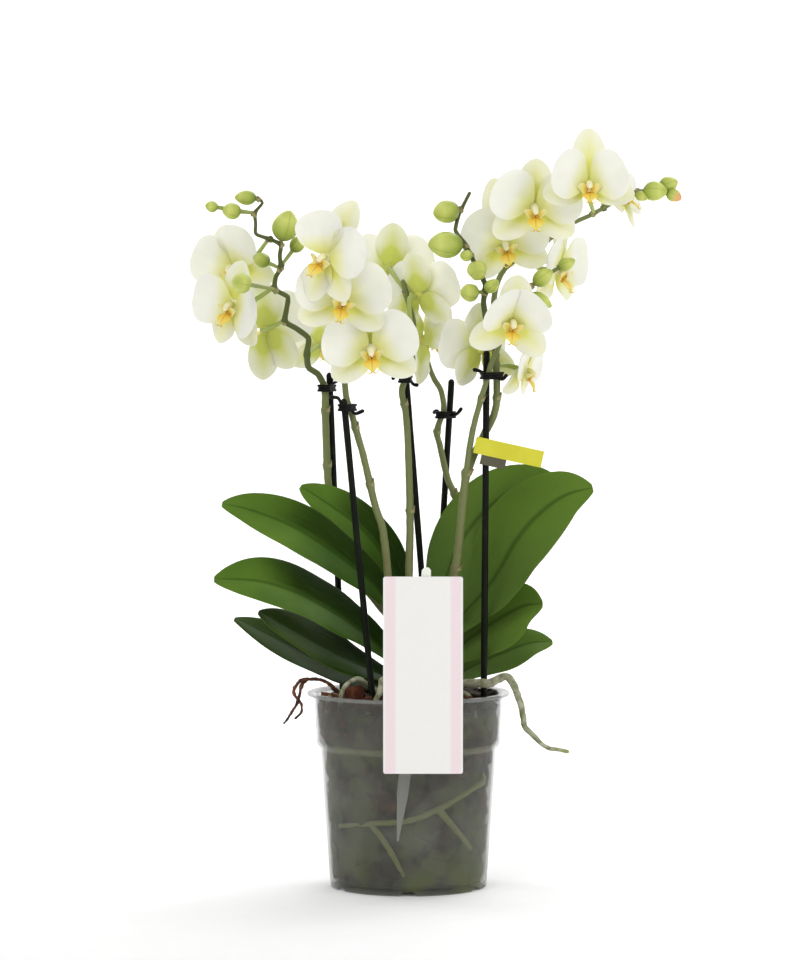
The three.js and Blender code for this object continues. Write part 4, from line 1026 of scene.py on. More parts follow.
leaves()
print("leaves:", len(LEAVES))

# %% [markdown]
# ## The short stem
# Between the leaves the stem hardly shows: each leaf ends in a sheath that wraps it. The seam where
# the blade leaves its sheath is a real line on the plant, so blade and sheath stay two pieces.
# A sheath is lofted from a narrow half-moon at the stem to the folded end of its leaf.

# %% Stem
SHEATH_STEPS = (
    (0, 0.7, 3), (0.3, 0.8, 2.9), (0.55, 0.9, 2.7), (0.8, 1, 2.2), (0.95, 1.04, 1.7), (1, 1.02, 1.4),
)
SHEATH_SIDES = 18
SHEATH_DROP = 7
STEM = {"x": 5.7, "y": 2, "bottom": 105, "top": 163, "bottom_radius": 8.5, "top_radius": 4.5}


def stem_finish():
    finish = Finish("leaf sheath", {"IOR": 1.45})
    streak = finish.noise(1, 4, finish.vector(finish.mark("along") * 3, finish.mark("across") * 14, 0))
    cloud = finish.noise(70, 3)
    green = finish.ramp(streak, (0.35, tint(70, 84, 40)), (0.7, tint(118, 126, 72)))
    return finish.shade(
        base_color=finish.blend(finish.rise(cloud, 0.55, 0.75) * 0.4, green, tint(96, 74, 52)),
        roughness=0.38 + cloud * 0.15,
        normal=finish.bump(streak, 0.2, 0.0006),
    )


def sheath(form, leaf):
    """From a half-moon at the stem to the folded end of its leaf, in steps of (share, width, thickness)."""
    middle, along, side, upper = leaf_frame(leaf, 0)
    end = middle + along * 0.4
    start = Vector((STEM["x"], STEM["y"], end.z - SHEATH_DROP))
    half_width = leaf["width"] / 2 * leaf_outline(0)
    fold = math.radians(leaf["fold"] * ROOT_FOLD)
    turns = [2 * math.pi * step / SHEATH_SIDES for step in range(SHEATH_SIDES)]
    rings = []
    for share, width, thick in SHEATH_STEPS:
        ring = []
        for turn in turns:
            v = math.cos(turn)
            rise = abs(v) ** 1.3 * half_width * width * math.sin(fold)
            spread = side * v * half_width * width * math.cos(fold)
            ring.append(start.lerp(end, share) + spread + upper * (rise + thick * math.sin(turn)))
        rings.append(ring)
    form.loft(rings, across=[math.cos(turn) for turn in turns])


def stem():
    form = Form()
    bottom = Vector((STEM["x"], STEM["y"], STEM["bottom"]))
    top = Vector((STEM["x"], STEM["y"], STEM["top"]))
    radii = STEM["bottom_radius"], STEM["top_radius"]
    tube(form, evenly([bottom, top], 3), lambda share: mix(*radii, share), 24)
    for leaf in LEAVES.values():
        sheath(form, leaf)
    piece("sheathed_stem", form, stem_finish(), ["stem"], sharp=80)


stem()
print("sheaths:", len(LEAVES))

# %% [markdown]
# ## Stakes
# The spikes are held by thin stakes, wire or split bamboo in a dark coating. The coat is thick and
# slightly uneven, and it ends in a rounded drip at the top.

# %% Stakes
STAKE_RADIUS = 2
STAKE_FIT = 0.97
STAKE_FOOT = 72
STAKES = {
    "far_left": {"foot": (-39.4, 27, 114), "top": (-47.4, 34, 304)},
    "front_left": {"foot": (-22.1, -33, 126), "top": (-37.8, -31, 290)},
    "middle": {"foot": (13.4, 19, 115), "top": (-1.7, 4, 305)},
    "back_right": {"foot": (14.8, 36, 113), "top": (25.9, 36, 300)},
    "front_right": {"foot": (44.4, -16.5, 116), "top": (45.7, -23, 318)},
}


def coated_finish(name, dark, worn, roughness):
    finish = Finish(name, {"IOR": 1.5, "Specular IOR Level": 0.15})
    cloud = finish.noise(120, 4)
    fine = finish.noise(700, 2)
    return finish.shade(
        base_color=finish.blend(finish.rise(cloud, 0.5, 0.8), dark, worn),
        roughness=roughness + fine * 0.15,
        normal=finish.bump(cloud * 0.6 + fine * 0.4, 0.12, 0.0005),
    )


def stake_line(name):
    """A stake from its end in the bark to its top; its foot is where it leaves the bark."""
    foot = Vector(STAKES[name]["foot"])
    top = Vector(STAKES[name]["top"])
    reach = (STAKE_FOOT - foot.z) / (top.z - foot.z)
    return foot.lerp(top, reach), top


def stake_at(name, z):
    start, end = stake_line(name)
    return start.lerp(end, (z - start.z) / (end.z - start.z))


def stakes():
    coat = coated_finish("dark coating", tint(7, 12, 3), tint(20, 30, 8), 0.38)
    for name in STAKES:
        start, end = stake_line(name)
        tip = (end - start).normalized() * STAKE_RADIUS
        line = evenly([start + tip, end - tip], 4)
        form = Form()
        tube(form, line, lambda share: STAKE_RADIUS * STAKE_FIT, 20, rough=0.05, grain=0.08)
        piece(f"coated_{name}", form, coat, [f"stake_{name}"])


stakes()
print("stakes:", len(STAKES))

# %% [markdown]
# ## Flower spikes
# A spike is one woody-green stalk that rises between the leaves, leans to its stake and then zigzags
# from flower to flower. Every few centimetres it has a joint: a swollen ring with a small papery
# scale. Short stalks leave it for the buds and the blooms. The routes are smooth curves through
# places read off the photo. A swelling in the tube's radius makes a joint, and a small curved blade
# makes its scale.

# %% Spike routes
SPIKES = {
    "far_left": {
        "routes": [
            {"path": [(1, 6, 142), (-6, 11, 152), (-27, 20, 178), (-43, 25.3, 209), (-47.5, 26, 234),
                      (-48.7, 26.5, 251), (-49.5, 27, 275), (-49.9, 27.6, 296)],
             "radius": (2.5, 2.1)},
            {"path": [(-49.9, 27.6, 295.5), (-54, 28, 303), (-59.6, 26, 306.9), (-60.5, 24, 315),
                      (-59.5, 22, 324.5), (-66.9, 19, 330.5), (-73.4, 17, 334.4), (-72.2, 15, 342.4),
                      (-71.5, 13, 349), (-79.2, 11, 353.7), (-78.5, 10, 360.8), (-75.5, 9, 366.2),
                      (-76.1, 7, 373.2), (-75.4, 6, 379.7), (-80.7, 5, 382.7), (-90.1, 3, 386.2),
                      (-90.1, 2, 392.1), (-90.6, 1, 398.6), (-85.9, 0, 404.5), (-88.8, 0, 407.4)],
             "radius": (2, 0.9)},
        ],
        "buds": [
            {"at": (-97.2, -36, 357), "from": (-79, 11, 352.5), "length": 14, "width": 12},
            {"at": (-87, 12, 371), "from": (-76, 9, 366), "length": 11, "width": 9},
            {"at": (-65.5, 12, 380.5), "from": (-75.5, 9, 367), "length": 12, "width": 9},
            {"at": (-72.5, 4, 391), "from": (-75.4, 6, 380), "length": 19, "width": 16},
            {"at": (-104, -7, 399.5), "from": (-90.6, 1, 398.6), "length": 12, "width": 10},
            {"at": (-96, 0, 407.5), "from": (-88.8, 0, 407.4), "length": 13, "width": 9},
            {"at": (-115.5, -11, 402), "from": (-104, -7, 403), "length": 8, "width": 7},
        ],
    },
    "front_left": {
        "routes": [
            {"path": [(1, -3, 134), (-5, -12, 147), (-9.6, -18, 168), (-12, -21, 185), (-13.1, -22, 198),
                      (-15.4, -23, 214.6), (-19.2, -24, 226), (-23, -25, 242), (-26.8, -26, 258),
                      (-30, -26, 269), (-33, -26, 280), (-36, -25, 289), (-38, -22, 305), (-41, -14, 322),
                      (-42, -8, 338), (-42, -4, 352), (-44, -4, 366)],
             "radius": (2.6, 1.5)},
        ],
        "buds": [],
    },
    "middle": {
        "routes": [
            {"path": [(7, -4, 124), (5, -10, 138), (2, -12, 160), (0.4, -12, 185), (0.9, -10, 209),
                      (0.9, -9, 224), (-0.2, -6, 259), (-0.5, -5, 266), (-1.8, -4, 282), (-3.9, -3, 294),
                      (-2, -3, 300), (2.1, -3, 312), (2, -2, 318), (3, 0, 334), (0, 6, 345), (-3, 8, 358)],
             "radius": (2.7, 1.5)},
        ],
        "buds": [],
    },
    "back_right": {
        "routes": [
            {"path": [(9, 5, 138), (14, 11, 150), (20.5, 20, 169), (27.8, 27, 198), (29.7, 30, 216),
                      (29, 31, 227), (23.7, 31, 240), (18.9, 31, 260), (17.1, 31, 268), (18.9, 31, 275),
                      (21.1, 31, 281), (19.5, 31, 293), (15.2, 31, 300.5), (11, 34, 314), (13, 34, 328),
                      (20, 30, 340)],
             "radius": (2.5, 1.4)},
        ],
        "buds": [],
    },
    "front_right": {
        "routes": [
            {"path": [(11.5, -2, 140), (16.5, -7, 149), (24.4, -13, 165), (27.3, -15, 185),
                      (30.3, -17, 211), (32.6, -19, 235), (34, -20, 247)],
             "radius": (2.7, 2.4)},
            {"path": [(34, -20, 246), (35.8, -23, 261), (37.8, -25, 272), (42.5, -27.5, 290),
                      (45.6, -28.5, 300.5), (48.6, -28, 311), (53, -25, 321), (56, -18, 334),
                      (62, -10, 346), (73, -8, 356), (80, -8, 361), (90, -8, 367)],
             "radius": (1.9, 1.1)},
            {"path": [(34, -20, 245), (38, -17, 255.5), (41.3, -15.4, 262), (45, -15.6, 269.5),
                      (49, -17, 277), (51.3, -19, 284.6), (51.8, -19.5, 292.3), (51.6, -19.5, 303),
                      (51, -17, 318), (50, -10, 341), (52, -4, 356), (58, 0, 367), (66, 1, 372),
                      (77, 0, 377), (85, -4, 385), (96, -5, 392), (107, -4, 397), (118, -3, 403),
                      (131, -4, 410), (143, -5, 412), (152, -5, 414)],
             "radius": (2.4, 1)},
            {"path": [(51, -17, 317), (46, -19, 332), (44, -20, 346), (45, -20, 356), (39, -19, 368),
                      (33, -17, 380), (27.6, -11, 388), (30, -3, 398), (36, -2, 410)],
             "radius": (1.9, 1)},
        ],
        "buds": [
            {"at": (22, -8, 399), "from": (31, -3, 400), "length": 17, "width": 14},
            {"at": (21.5, -23, 379.5), "from": (33, -17, 379), "length": 22, "width": 16},
            {"at": (33.5, -25, 373), "from": (36, -18, 374), "length": 11, "width": 7},
            {"at": (40, -27, 364.5), "from": (41, -19.5, 364), "length": 14, "width": 12},
            {"at": (35.5, -27, 351.5), "from": (44.5, -20, 352), "length": 12, "width": 11},
            {"at": (48.8, -27, 355.5), "from": (45, -20, 352), "length": 13, "width": 8},
            {"at": (79, -10, 360.5), "from": (73, -8, 356), "length": 14, "width": 10},
            {"at": (93, -9, 368.5), "from": (90, -8, 367), "length": 11, "width": 8},
            {"at": (78, -11, 347), "from": (69, -9, 352), "length": 15, "width": 8},
            {"at": (145, -8, 411), "from": (136, -4, 411), "length": 15, "width": 12},
            {"at": (153, -4, 415), "from": (147, -5, 413), "length": 12, "width": 10},
            {"at": (137, -8, 408), "from": (131, -4, 410), "length": 9, "width": 6},
            {"at": (156, -8, 408.5), "from": (148, -5, 412), "length": 10, "width": 8, "blush": 1.0},
        ],
    },
}
JOINT_HEIGHTS = {
    "far_left": (200, 248, 281),
    "front_left": (181, 239, 272),
    "middle": (166, 222, 285),
    "back_right": (186, 230, 268),
    "front_right": (189, 246, 290),
}
print("stalk routes:", sum(len(spike["routes"]) for spike in SPIKES.values()))


# %% Stalk finish
def stalk_finish():
    finish = Finish("flower stalk", {"IOR": 1.45})
    youth = finish.mark("tone")
    along = finish.mark("along")
    cloud = finish.noise(110, 4)
    fine = finish.noise(900, 2)
    height = finish.coordinate("Z")
    green = finish.ramp(
        youth,
        (0.1, tint(112, 120, 70)), (0.3, tint(150, 146, 98)),
        (0.5, tint(80, 90, 38)), (1.0, tint(176, 190, 106)),
    )
    woody = finish.rise(height, 0.225, 0.17) * finish.rise(cloud, 0.3, 0.6) * 0.55
    browned = finish.blend(woody, green, tint(104, 84, 58))
    scale = finish.rise(youth, 0.2, 0.28) * finish.rise(youth, 0.4, 0.32)
    papery = finish.blend(scale * finish.rise(along, 0.5, 1.0) * 0.8, browned, tint(128, 102, 66))
    speckled = finish.blend(finish.rise(cloud, 0.55, 0.75) * 0.25, papery, tint(132, 136, 86))
    return finish.shade(
        base_color=speckled,
        roughness=0.42 + fine * 0.2,
        normal=finish.bump(cloud * 0.5 + fine * 0.5, 0.22, 0.0004),
    )


print("stalk finish ready")

# %% Side stalks and scales
STALK, SCALE, YOUNG_STALK, BUD_STALK, FLOWER_STALK = 0.1, 0.3, 0.5, 0.8, 0.95
RACHIS_START = 290
SCALE_WRAP = 125
SCALE_THICKNESS = 0.4
SIDE_SCALE = {"before": 1.5, "radius": 1.7, "length": 3.4}
JOINT = {"scale_length": 4.4, "scale_fit": 1.15, "swell": 0.26, "swell_reach": 1.7}


def scale_leaf(form, place, way, out, radius, length):
    """A small papery scale that wraps a stalk and is longest on the side `out`."""
    other = way.cross(out)

    def surface(u, v):
        turn = v * math.radians(SCALE_WRAP)
        reach = radius + 0.15 + 0.25 * u * u
        rise = length * u * mix(1, 0.35, v * v)
        return place + way * (rise - 0.8) + (out * math.cos(turn) + other * math.sin(turn)) * reach

    blade(form, surface, 6, 14, SCALE_THICKNESS, SCALE)


def nearest_on(spike, point):
    """The place on a spike's routes that is nearest to a point, and the way the route runs there."""
    aim = Vector(point)
    best = None
    for route in spike["routes"]:
        line = route["line"]
        for step, place in enumerate(line):
            if best is None or (place - aim).length < (best[0] - aim).length:
                way = (line[min(step + 1, len(line) - 1)] - line[max(step - 1, 0)]).normalized()
                best = (place, way)
    return best


def side_stalk(form, spike, start_near, end, arrive, radii, tone):
    """A short stalk from the spike to a bud or bloom, with a scale where it starts."""
    start, way = nearest_on(spike, start_near)
    line = smooth_path([start, *arrive, end], 1.2)
    tube(form, line, lambda share: mix(radii[0], radii[1], share), 10, tone=tone)
    out = (line[1] - line[0]).normalized()
    out = (out - way * out.dot(way)).normalized()
    foot = start - way * SIDE_SCALE["before"]
    scale_leaf(form, foot, way, out, SIDE_SCALE["radius"], SIDE_SCALE["length"])


print("a scale wraps", 2 * SCALE_WRAP, "degrees of its stalk")


# %% Main stalks
def swelling(place, joints):
    """The share by which a stalk is thicker at a place, near its joints."""
    nearness = (((place - joint).length / JOINT["swell_reach"]) ** 2 for joint in joints)
    return sum(JOINT["swell"] * math.exp(-near) for near in nearness)


def stalks(name, spike, side_starts):
    """A spike's routes as tubes that swell at their joints, with a papery scale at each joint."""
    form = Form()
    for route in spike["routes"]:
        line = route["line"]
        ways = ways_along(line)
        first, last = route["radius"]
        count = len(line) - 1
        joints = []
        for height in JOINT_HEIGHTS[name]:
            step = min(range(count + 1), key=lambda step: abs(line[step].z - height))
            if abs(line[step].z - height) < 2 and 0 < step < count:
                joints.append(line[step])
                way, side, _ = ways[step]
                radius = mix(first, last, step / count) * JOINT["scale_fit"]
                scale_leaf(form, line[step], way, side, radius, JOINT["scale_length"])
        joints.extend(side_starts)
        young = YOUNG_STALK if line[0].z > RACHIS_START else STALK
        tube(
            form, line,
            lambda share: mix(first, last, share) * (1 + swelling(line[round(share * count)], joints)),
            14, tone=young, rough=0.08, grain=0.3,
        )
    return form


print("a joint swells by", JOINT["swell"])

# %% [markdown]
# ## Buds
# A bud is an egg of three folded sepals: bright yellow-green, with shallow seams and a blunt tip.
# A UV sphere could be pulled into shape; a loft along the bud's axis does it in one rule, and the
# seams are dips in the radius at three places round it.

# %% Bud finish
def bud_finish():
    finish = Finish("bud", {"Subsurface Weight": 0.15, "Subsurface Scale": 0.003, "IOR": 1.42})
    along = finish.mark("along")
    blush = finish.mark("tone")
    cloud = finish.noise(150, 3)
    seam = finish.rise(finish.mark("across"), 0.72, 1.0)
    green = finish.ramp(
        along * 0.8 + cloud * 0.2,
        (0.08, tint(98, 118, 38)), (0.34, tint(162, 178, 74)),
        (0.7, tint(204, 212, 112)), (1.0, tint(166, 182, 78)),
    )
    seamed = finish.blend(seam * 0.3, green, tint(118, 138, 44))
    return finish.shade(
        base_color=finish.blend(blush * finish.rise(along, 0.5, 0.9), seamed, tint(232, 168, 112)),
        roughness=0.4 + cloud * 0.12,
        normal=finish.bump(finish.noise(500, 2), 0.08, 0.0004),
    )


print("bud finish ready")

# %% Buds
BUD_SIDES = 24
BUD_ROWS = 18
SEAM_DEPTH = 0.11


def bud(form, spike, spec):
    """An egg with three seams at the end of its short stalk; gives the place where the stalk ends."""
    middle = Vector(spec["at"])
    along = (middle - nearest_on(spike, spec["from"])[0]).normalized()
    side = along.orthogonal().normalized()
    other = along.cross(side)
    rings = []
    levels = []
    turns = [2 * math.pi * step / BUD_SIDES for step in range(BUD_SIDES)]
    seam_at = [abs(math.cos(1.5 * turn)) ** 10 for turn in turns]
    for row in range(BUD_ROWS + 1):
        share = 0.5 - 0.5 * math.cos(math.pi * min(0.985, max(0.02, row / BUD_ROWS)))
        radius = spec["width"] / 2 * math.sin(math.pi * share**0.85) ** 0.62
        place = middle + along * spec["length"] * (share - 0.5)
        ring = []
        for turn, seam in zip(turns, seam_at):
            reach = radius * (1 - SEAM_DEPTH * seam * math.sin(math.pi * share))
            ring.append(place + (side * math.cos(turn) + other * math.sin(turn)) * reach)
        rings.append(ring)
        levels.append(share)
    form.loft(rings, levels, seam_at, tone=spec.get("blush", 0.0))
    return middle - along * spec["length"] * 0.3, along


print("buds to grow:", sum(len(spike["buds"]) for spike in SPIKES.values()))


# %% [markdown]
# ## Blooms
# Every bloom is built alike: three narrow sepals behind, two broad petals before them, a white
# column in the middle and a three-lobed gold lip under it. Petals could be cut from cloth and
# simulated, but a living petal is stiff and keeps its own curve. So each is a blade over a surface:
# an outline gives its width, a sweep bends it forward, and a ripple loosens its edge. Chance, with a
# fixed seed, makes every petal a little different.

# %% Where the blooms are
BLOOMS = {
    "left_1": {"at": (-103.8, 32, 366.3), "turn": -30, "roll": 25, "sweep": 20, "petals": (40, 135),
               "stalk": (-82, 5, 383)},
    "left_2": {"at": (-101.8, -2, 344.5), "turn": -40, "lift": -4, "roll": -17, "sweep": 20, "sepals": 6,
               "petals": (0, 180), "laterals": (-40, 250), "stalk": (-79, 10.5, 355)},
    "left_3": {"at": (-86, 36, 329), "turn": 178, "sweep": 4, "sepals": -14, "size": 1.08,
               "petals": (70, 150), "laterals": (-90, -132), "stalk": (-73, 16.5, 335)},
    "left_4": {"at": (-53, 53, 320), "turn": 170, "sweep": 12, "size": 0.75, "stalk": (-60, 24, 315)},
    "front_1": {"at": (-46.8, -65, 371.8), "turn": -25, "roll": -27, "sweep": 10, "dorsal": 1.3,
               "petals": (36, 127), "laterals": (-41, -89), "stalk": (-43, -4, 360)},
    "front_2": {"at": (-37.8, -49, 348.3), "turn": 5, "lift": -8, "roll": -14, "sweep": 6, "sepals": 4,
               "dorsal": 1.15, "size": 1.04, "petals": (36, 166), "laterals": (-24, 219),
               "stalk": (-41, -14, 322)},
    "front_3": {"at": (-21.7, -37, 319), "turn": 0, "lift": -6, "roll": 5, "sweep": 4, "sepals": 2,
               "size": 1.05, "stalk": (-38, -22, 305)},
    "middle_1": {"at": (6.3, 5, 350), "turn": 150, "lift": 10, "sweep": 14, "sepals": -4, "size": 0.95,
               "stalk": (2, -2, 322)},
    "middle_2": {"at": (9.3, 20, 323.5), "turn": 120, "roll": -50, "sweep": 14, "stalk": (1, -3, 312)},
    "middle_3": {"at": (-11, 29, 366), "turn": 178, "roll": 3, "sweep": 10, "stalk": (-3, 8, 352)},
    "right_1": {"at": (56.9, -7, 380.7), "turn": 0, "lift": -10, "roll": 12, "sweep": 12, "sepals": 6,
               "dorsal": 1.45, "petals": (20, 142), "stalk": (60, 4, 366)},
    "right_2": {"at": (73.4, -26, 401), "turn": 4, "lift": -6, "sweep": 12, "sepals": 6, "size": 1.03,
               "petals": (22, 150), "stalk": (84, -5, 385)},
    "right_3": {"at": (104.5, -36, 413), "turn": 2, "lift": 12, "sweep": 36, "sepals": 10, "dorsal": 1.25,
               "laterals": (-14, 194), "stalk": (110, -4, 398)},
    "right_4": {"at": (127, 32, 409), "turn": 75, "lift": 15, "roll": -20, "sweep": 14, "sepals": 6,
               "size": 0.85, "stalk": (116, -3.5, 401.5)},
    "right_5": {"at": (88, 21, 365), "turn": 60, "lift": -5, "sweep": 16, "sepals": 6,
               "stalk": (77, 0, 377)},
    "right_6": {"at": (59.5, -44, 334.4), "turn": 10, "lift": -4, "roll": -8, "sweep": 46, "sepals": 4,
               "petals": (46, 142), "stalk": (52, -25, 326)},
    "right_7": {"at": (42, -8, 318), "turn": -140, "roll": -8, "sweep": 12, "stalk": (51, -16, 314)},
    "right_8": {"at": (68, -6, 306), "turn": 70, "lift": -15, "sweep": 6, "size": 0.85,
               "stalk": (51.4, -18.5, 309)},
}
BLOOMS_WITH_LIP = (
    "left_2", "front_1", "front_2", "front_3", "right_1", "right_2", "right_3", "right_5", "right_6",
)
SPIKE_OF_BLOOM = {"left": "far_left", "front": "front_left", "middle": "middle", "right": "front_right"}
BLOOM = {
    "petal": (28, 30), "dorsal": (28, 20), "lateral": (28, 18),
    "petals": (22, 158), "laterals": (-35, 215), "back": 4.4,
}
PETAL_THICKNESS = 0.75
CREASE = {"depth": 0.5, "width": 0.16}
PETAL, SEPAL, COLUMN = 0.0, 1.0, 2.0
print("blooms to grow:", len(BLOOMS), "and lip nodes to replace:", len(BLOOMS_WITH_LIP))


# %% Placing a bloom
def bloom_matrix(bloom):
    """The placing of a bloom: +X to its viewer's right, +Y to its upper sepal, +Z to its viewer."""
    turn = math.radians(bloom["turn"])
    lift = math.radians(bloom.get("lift", 0))
    facing = Vector((math.sin(turn) * math.cos(lift), -math.cos(turn) * math.cos(lift), math.sin(lift)))
    right = Vector((0, 0, 1)).cross(facing).normalized()
    basis = Matrix((right, facing.cross(right), facing)).transposed().to_4x4()
    roll = Matrix.Rotation(math.radians(bloom.get("roll", 0)), 4, "Z")
    return Matrix.Translation(bloom["at"]) @ basis @ roll @ Matrix.Scale(bloom.get("size", 1), 4)


def put(matrix, form):
    """Moves a form from its own frame, such as a bloom's, to the plant's."""
    form.places = [matrix @ place for place in form.places]


first_facing = bloom_matrix(BLOOMS["left_1"]).col[2]
print("the first bloom looks along", tuple(round(way, 2) for way in first_facing[:3]))


# %% Petal finish
def petal_finish():
    finish = Finish("petal", {
        "Subsurface Weight": 0.25, "Subsurface Scale": 0.003, "Subsurface Radius": (1.0, 1.0, 0.7),
        "Specular IOR Level": 0.3,
    })
    along = finish.mark("along")
    across = finish.mark("across")
    back = finish.mark("face")
    kind = finish.mark("tone")
    sepal = finish.rise(kind, 0.4, 0.6)
    column = finish.rise(kind, 1.4, 1.6)
    veins = finish.noise(1, 3, finish.vector(across * 15, along * 2.4, kind * 5))
    cloud = finish.noise(70, 3)
    throat = finish.rise(along, 0.56, 0.06)
    rib = finish.rise(abs(across), 0.8, 0.0) * finish.rise(along, 1.15, 0.25)
    flush = throat * (0.86 + sepal * 0.06) + sepal * (rib * (0.6 + back * 0.15) + 0.2)
    fresh = flush + (veins - 0.5) * 0.2 * (throat + sepal * 0.6 + 0.15)
    white = finish.blend(cloud, tint(232, 233, 218), tint(247, 246, 236))
    yellow = finish.blend(back * 0.7 + throat * 0.15, tint(228, 227, 122), tint(192, 202, 98))
    tinted = finish.blend((1 - column) * fresh, white, yellow)
    cap = finish.blend(finish.rise(along, 0.2, 0.8), tint(206, 204, 96), tint(242, 236, 196))
    return finish.shade(
        base_color=finish.blend(column, tinted, cap),
        roughness=0.5 + cloud * 0.15,
        normal=finish.bump(veins * 0.8 + finish.noise(900, 2) * 0.2, 0.1, 0.0006),
    )


print("petal finish ready")


# %% Petals
def petal_outline(u):
    return (1 - abs(2 * u**1.15 - 1) ** 2.3) ** 0.5 * mix(0.72, 1, min(1, u / 0.3))


def sepal_outline(u):
    return (1 - abs(2 * u**0.95 - 1) ** 2.1) ** 0.58


def tepal(form, angle, size, sweep, curl, cup, lay, outline, kind, dice):
    """One petal or sepal that lies at `angle` round the bloom and rises by `sweep` degrees."""
    turn = math.radians(angle + dice.uniform(-2, 2))
    along = Vector((math.cos(turn), math.sin(turn), 0))
    across = Vector((-math.sin(turn), math.cos(turn), 0))
    slope = math.radians(sweep + dice.uniform(-2, 2))
    length = size[0] * dice.uniform(0.97, 1.01)
    ripple = dice.uniform(0.4, 1.0)
    waves = dice.uniform(7, 11)
    phase = dice.uniform(0, 6)
    twist = dice.uniform(-0.6, 0.6)

    def surface(u, v):
        run = mix(1.6, length, u)
        wide = outline(u)
        edge = ripple * v * v * math.sin(waves * u + phase + 2 * v) * math.sin(math.pi * u)
        height = lay + run * math.sin(slope) + curl * u * u + cup * v * v * wide + edge + twist * u * v
        crease = -CREASE["depth"] * math.exp(-((v / CREASE["width"]) ** 2)) * math.sin(math.pi * u)
        flat = along * run * math.cos(slope) + across * size[1] / 2 * wide * v
        return flat + Vector((0, 0, height + crease))

    blade(form, surface, 20, 16, PETAL_THICKNESS, kind)


print("a petal is", BLOOM["petal"][0], "mm long and", BLOOM["petal"][1], "mm wide")

# %% Flowers
COLUMN_LINE = [(0, 0.2, 2), (0, 0.4, 4.5), (0, -0.3, 7), (0, -1.7, 8.6)]
BACK_LEVELS = (-BLOOM["back"] + 0.4, -3, -1.6, 0, 1.6, 2.6)
BACK_RADII = (1.7, 2.3, 2.9, 3.1, 2.6, 1.6)


def column(form):
    """The back of the bloom, where all its parts meet, and the white column with its cap in front."""
    back = [Vector((0, 0, z)) for z in BACK_LEVELS]
    tube(form, back, lambda share: BACK_RADII[round(share * (len(BACK_RADII) - 1))], 16, tone=COLUMN)
    front = smooth_path(mm(COLUMN_LINE), 0.6)
    tube(form, front, lambda share: mix(1.5, 1.95, math.sin(math.pi * share * 0.85)), 14, tone=COLUMN)


def flower(bloom, dice):
    """A whole bloom without its lip: two petals, three sepals, and the column that joins them."""
    form = Form()
    sweep = bloom["sweep"]
    sepals = bloom.get("sepals", 0)
    dorsal_length, dorsal_width = BLOOM["dorsal"]
    dorsal = (dorsal_length * bloom.get("dorsal", 1), dorsal_width)
    for angle in bloom.get("petals", BLOOM["petals"]):
        tepal(form, angle, BLOOM["petal"], sweep, -1, 2, 1, petal_outline, PETAL, dice)
    tepal(form, 90, dorsal, sepals, -2, 1.6, -1.2, sepal_outline, SEPAL, dice)
    for angle in bloom.get("laterals", BLOOM["laterals"]):
        tepal(form, angle, BLOOM["lateral"], sepals, -2, 1.6, -1.2, sepal_outline, SEPAL, dice)
    column(form)
    put(bloom_matrix(bloom), form)
    return form


print("a bloom has", len(BLOOM["petals"]), "petals and", 1 + len(BLOOM["laterals"]), "sepals")

# %% [markdown]
# ## The lip
# The lip is the landing place for insects and the brightest part of the bloom. Its middle lobe is a
# gold arrowhead on a narrow claw, with two fine whiskers at its tip. Two side lobes stand up like
# a collar, pale yellow outside and marked with red-brown at the base, round a small gold callus.
# It is one mesh, so that its marks can shade one lobe into the next.

# %% Lip finish
def lip_finish():
    finish = Finish("lip", {"Subsurface Weight": 0.15, "Subsurface Scale": 0.002, "IOR": 1.42})
    along = finish.mark("along")
    across = finish.mark("across")
    lobe = finish.mark("tone")
    speck = finish.rise(finish.noise(700, 2), 0.54, 0.64)
    cloud = finish.noise(260, 3)
    gold = finish.ramp(
        along * 0.75 + cloud * 0.25,
        (0.1, tint(206, 142, 22)), (0.35, tint(234, 192, 52)), (0.75, tint(244, 222, 106)),
    )
    side = finish.ramp(
        along, (0.1, tint(222, 178, 52)), (0.45, tint(236, 220, 112)), (1.0, tint(244, 238, 188)),
    )
    groove = finish.rise(abs(across), 0.16, 0.0) * (1 - finish.rise(lobe, 0.4, 0.6))
    coloured = finish.blend(finish.rise(lobe, 0.4, 0.6), gold, side)
    shaded = finish.blend(groove * 0.4, coloured, tint(178, 102, 16))
    spotted = finish.blend(speck * finish.rise(along, 0.5, 0.05) * 0.7, shaded, tint(150, 78, 20))
    return finish.shade(
        base_color=spotted,
        roughness=0.38 + cloud * 0.15,
        normal=finish.bump(cloud, 0.12, 0.0004),
    )


print("lip finish ready")

# %% Lips
TONGUE, SIDE_LOBE = 0.0, 1.0
WHISKER = [(0.2, -11.6, 10.4), (1.5, -12.6, 11), (3, -11.8, 12), (3.4, -10, 12.2), (2.6, -9.2, 11.6)]
CALLUS = [(0.7, -4.9, 4.2), (1.0, -4.3, 5.4), (0.8, -4.5, 6.4)]


def tongue_surface(u, v):
    """The middle lobe: a claw that widens to an arrowhead, with a keel and turned-down edges."""
    head = 4.6 * math.sin(math.pi * mix(0.3, 1, max(0, u - 0.35) / 0.65))
    widening = min(1, max(0, (u - 0.22) / 0.16))
    width = mix(mix(1.5, 2.0, u), head, widening * widening * (3 - 2 * widening))
    keel = 0.55 * math.exp(-((v / 0.3) ** 2)) * math.sin(math.pi * min(1, u + 0.1))
    return Vector((v * width, -4.6 - 3 * u - 4.4 * u * u, 3.2 + 9.5 * u - 2 * u * u + 0.8 * v * v + keel))


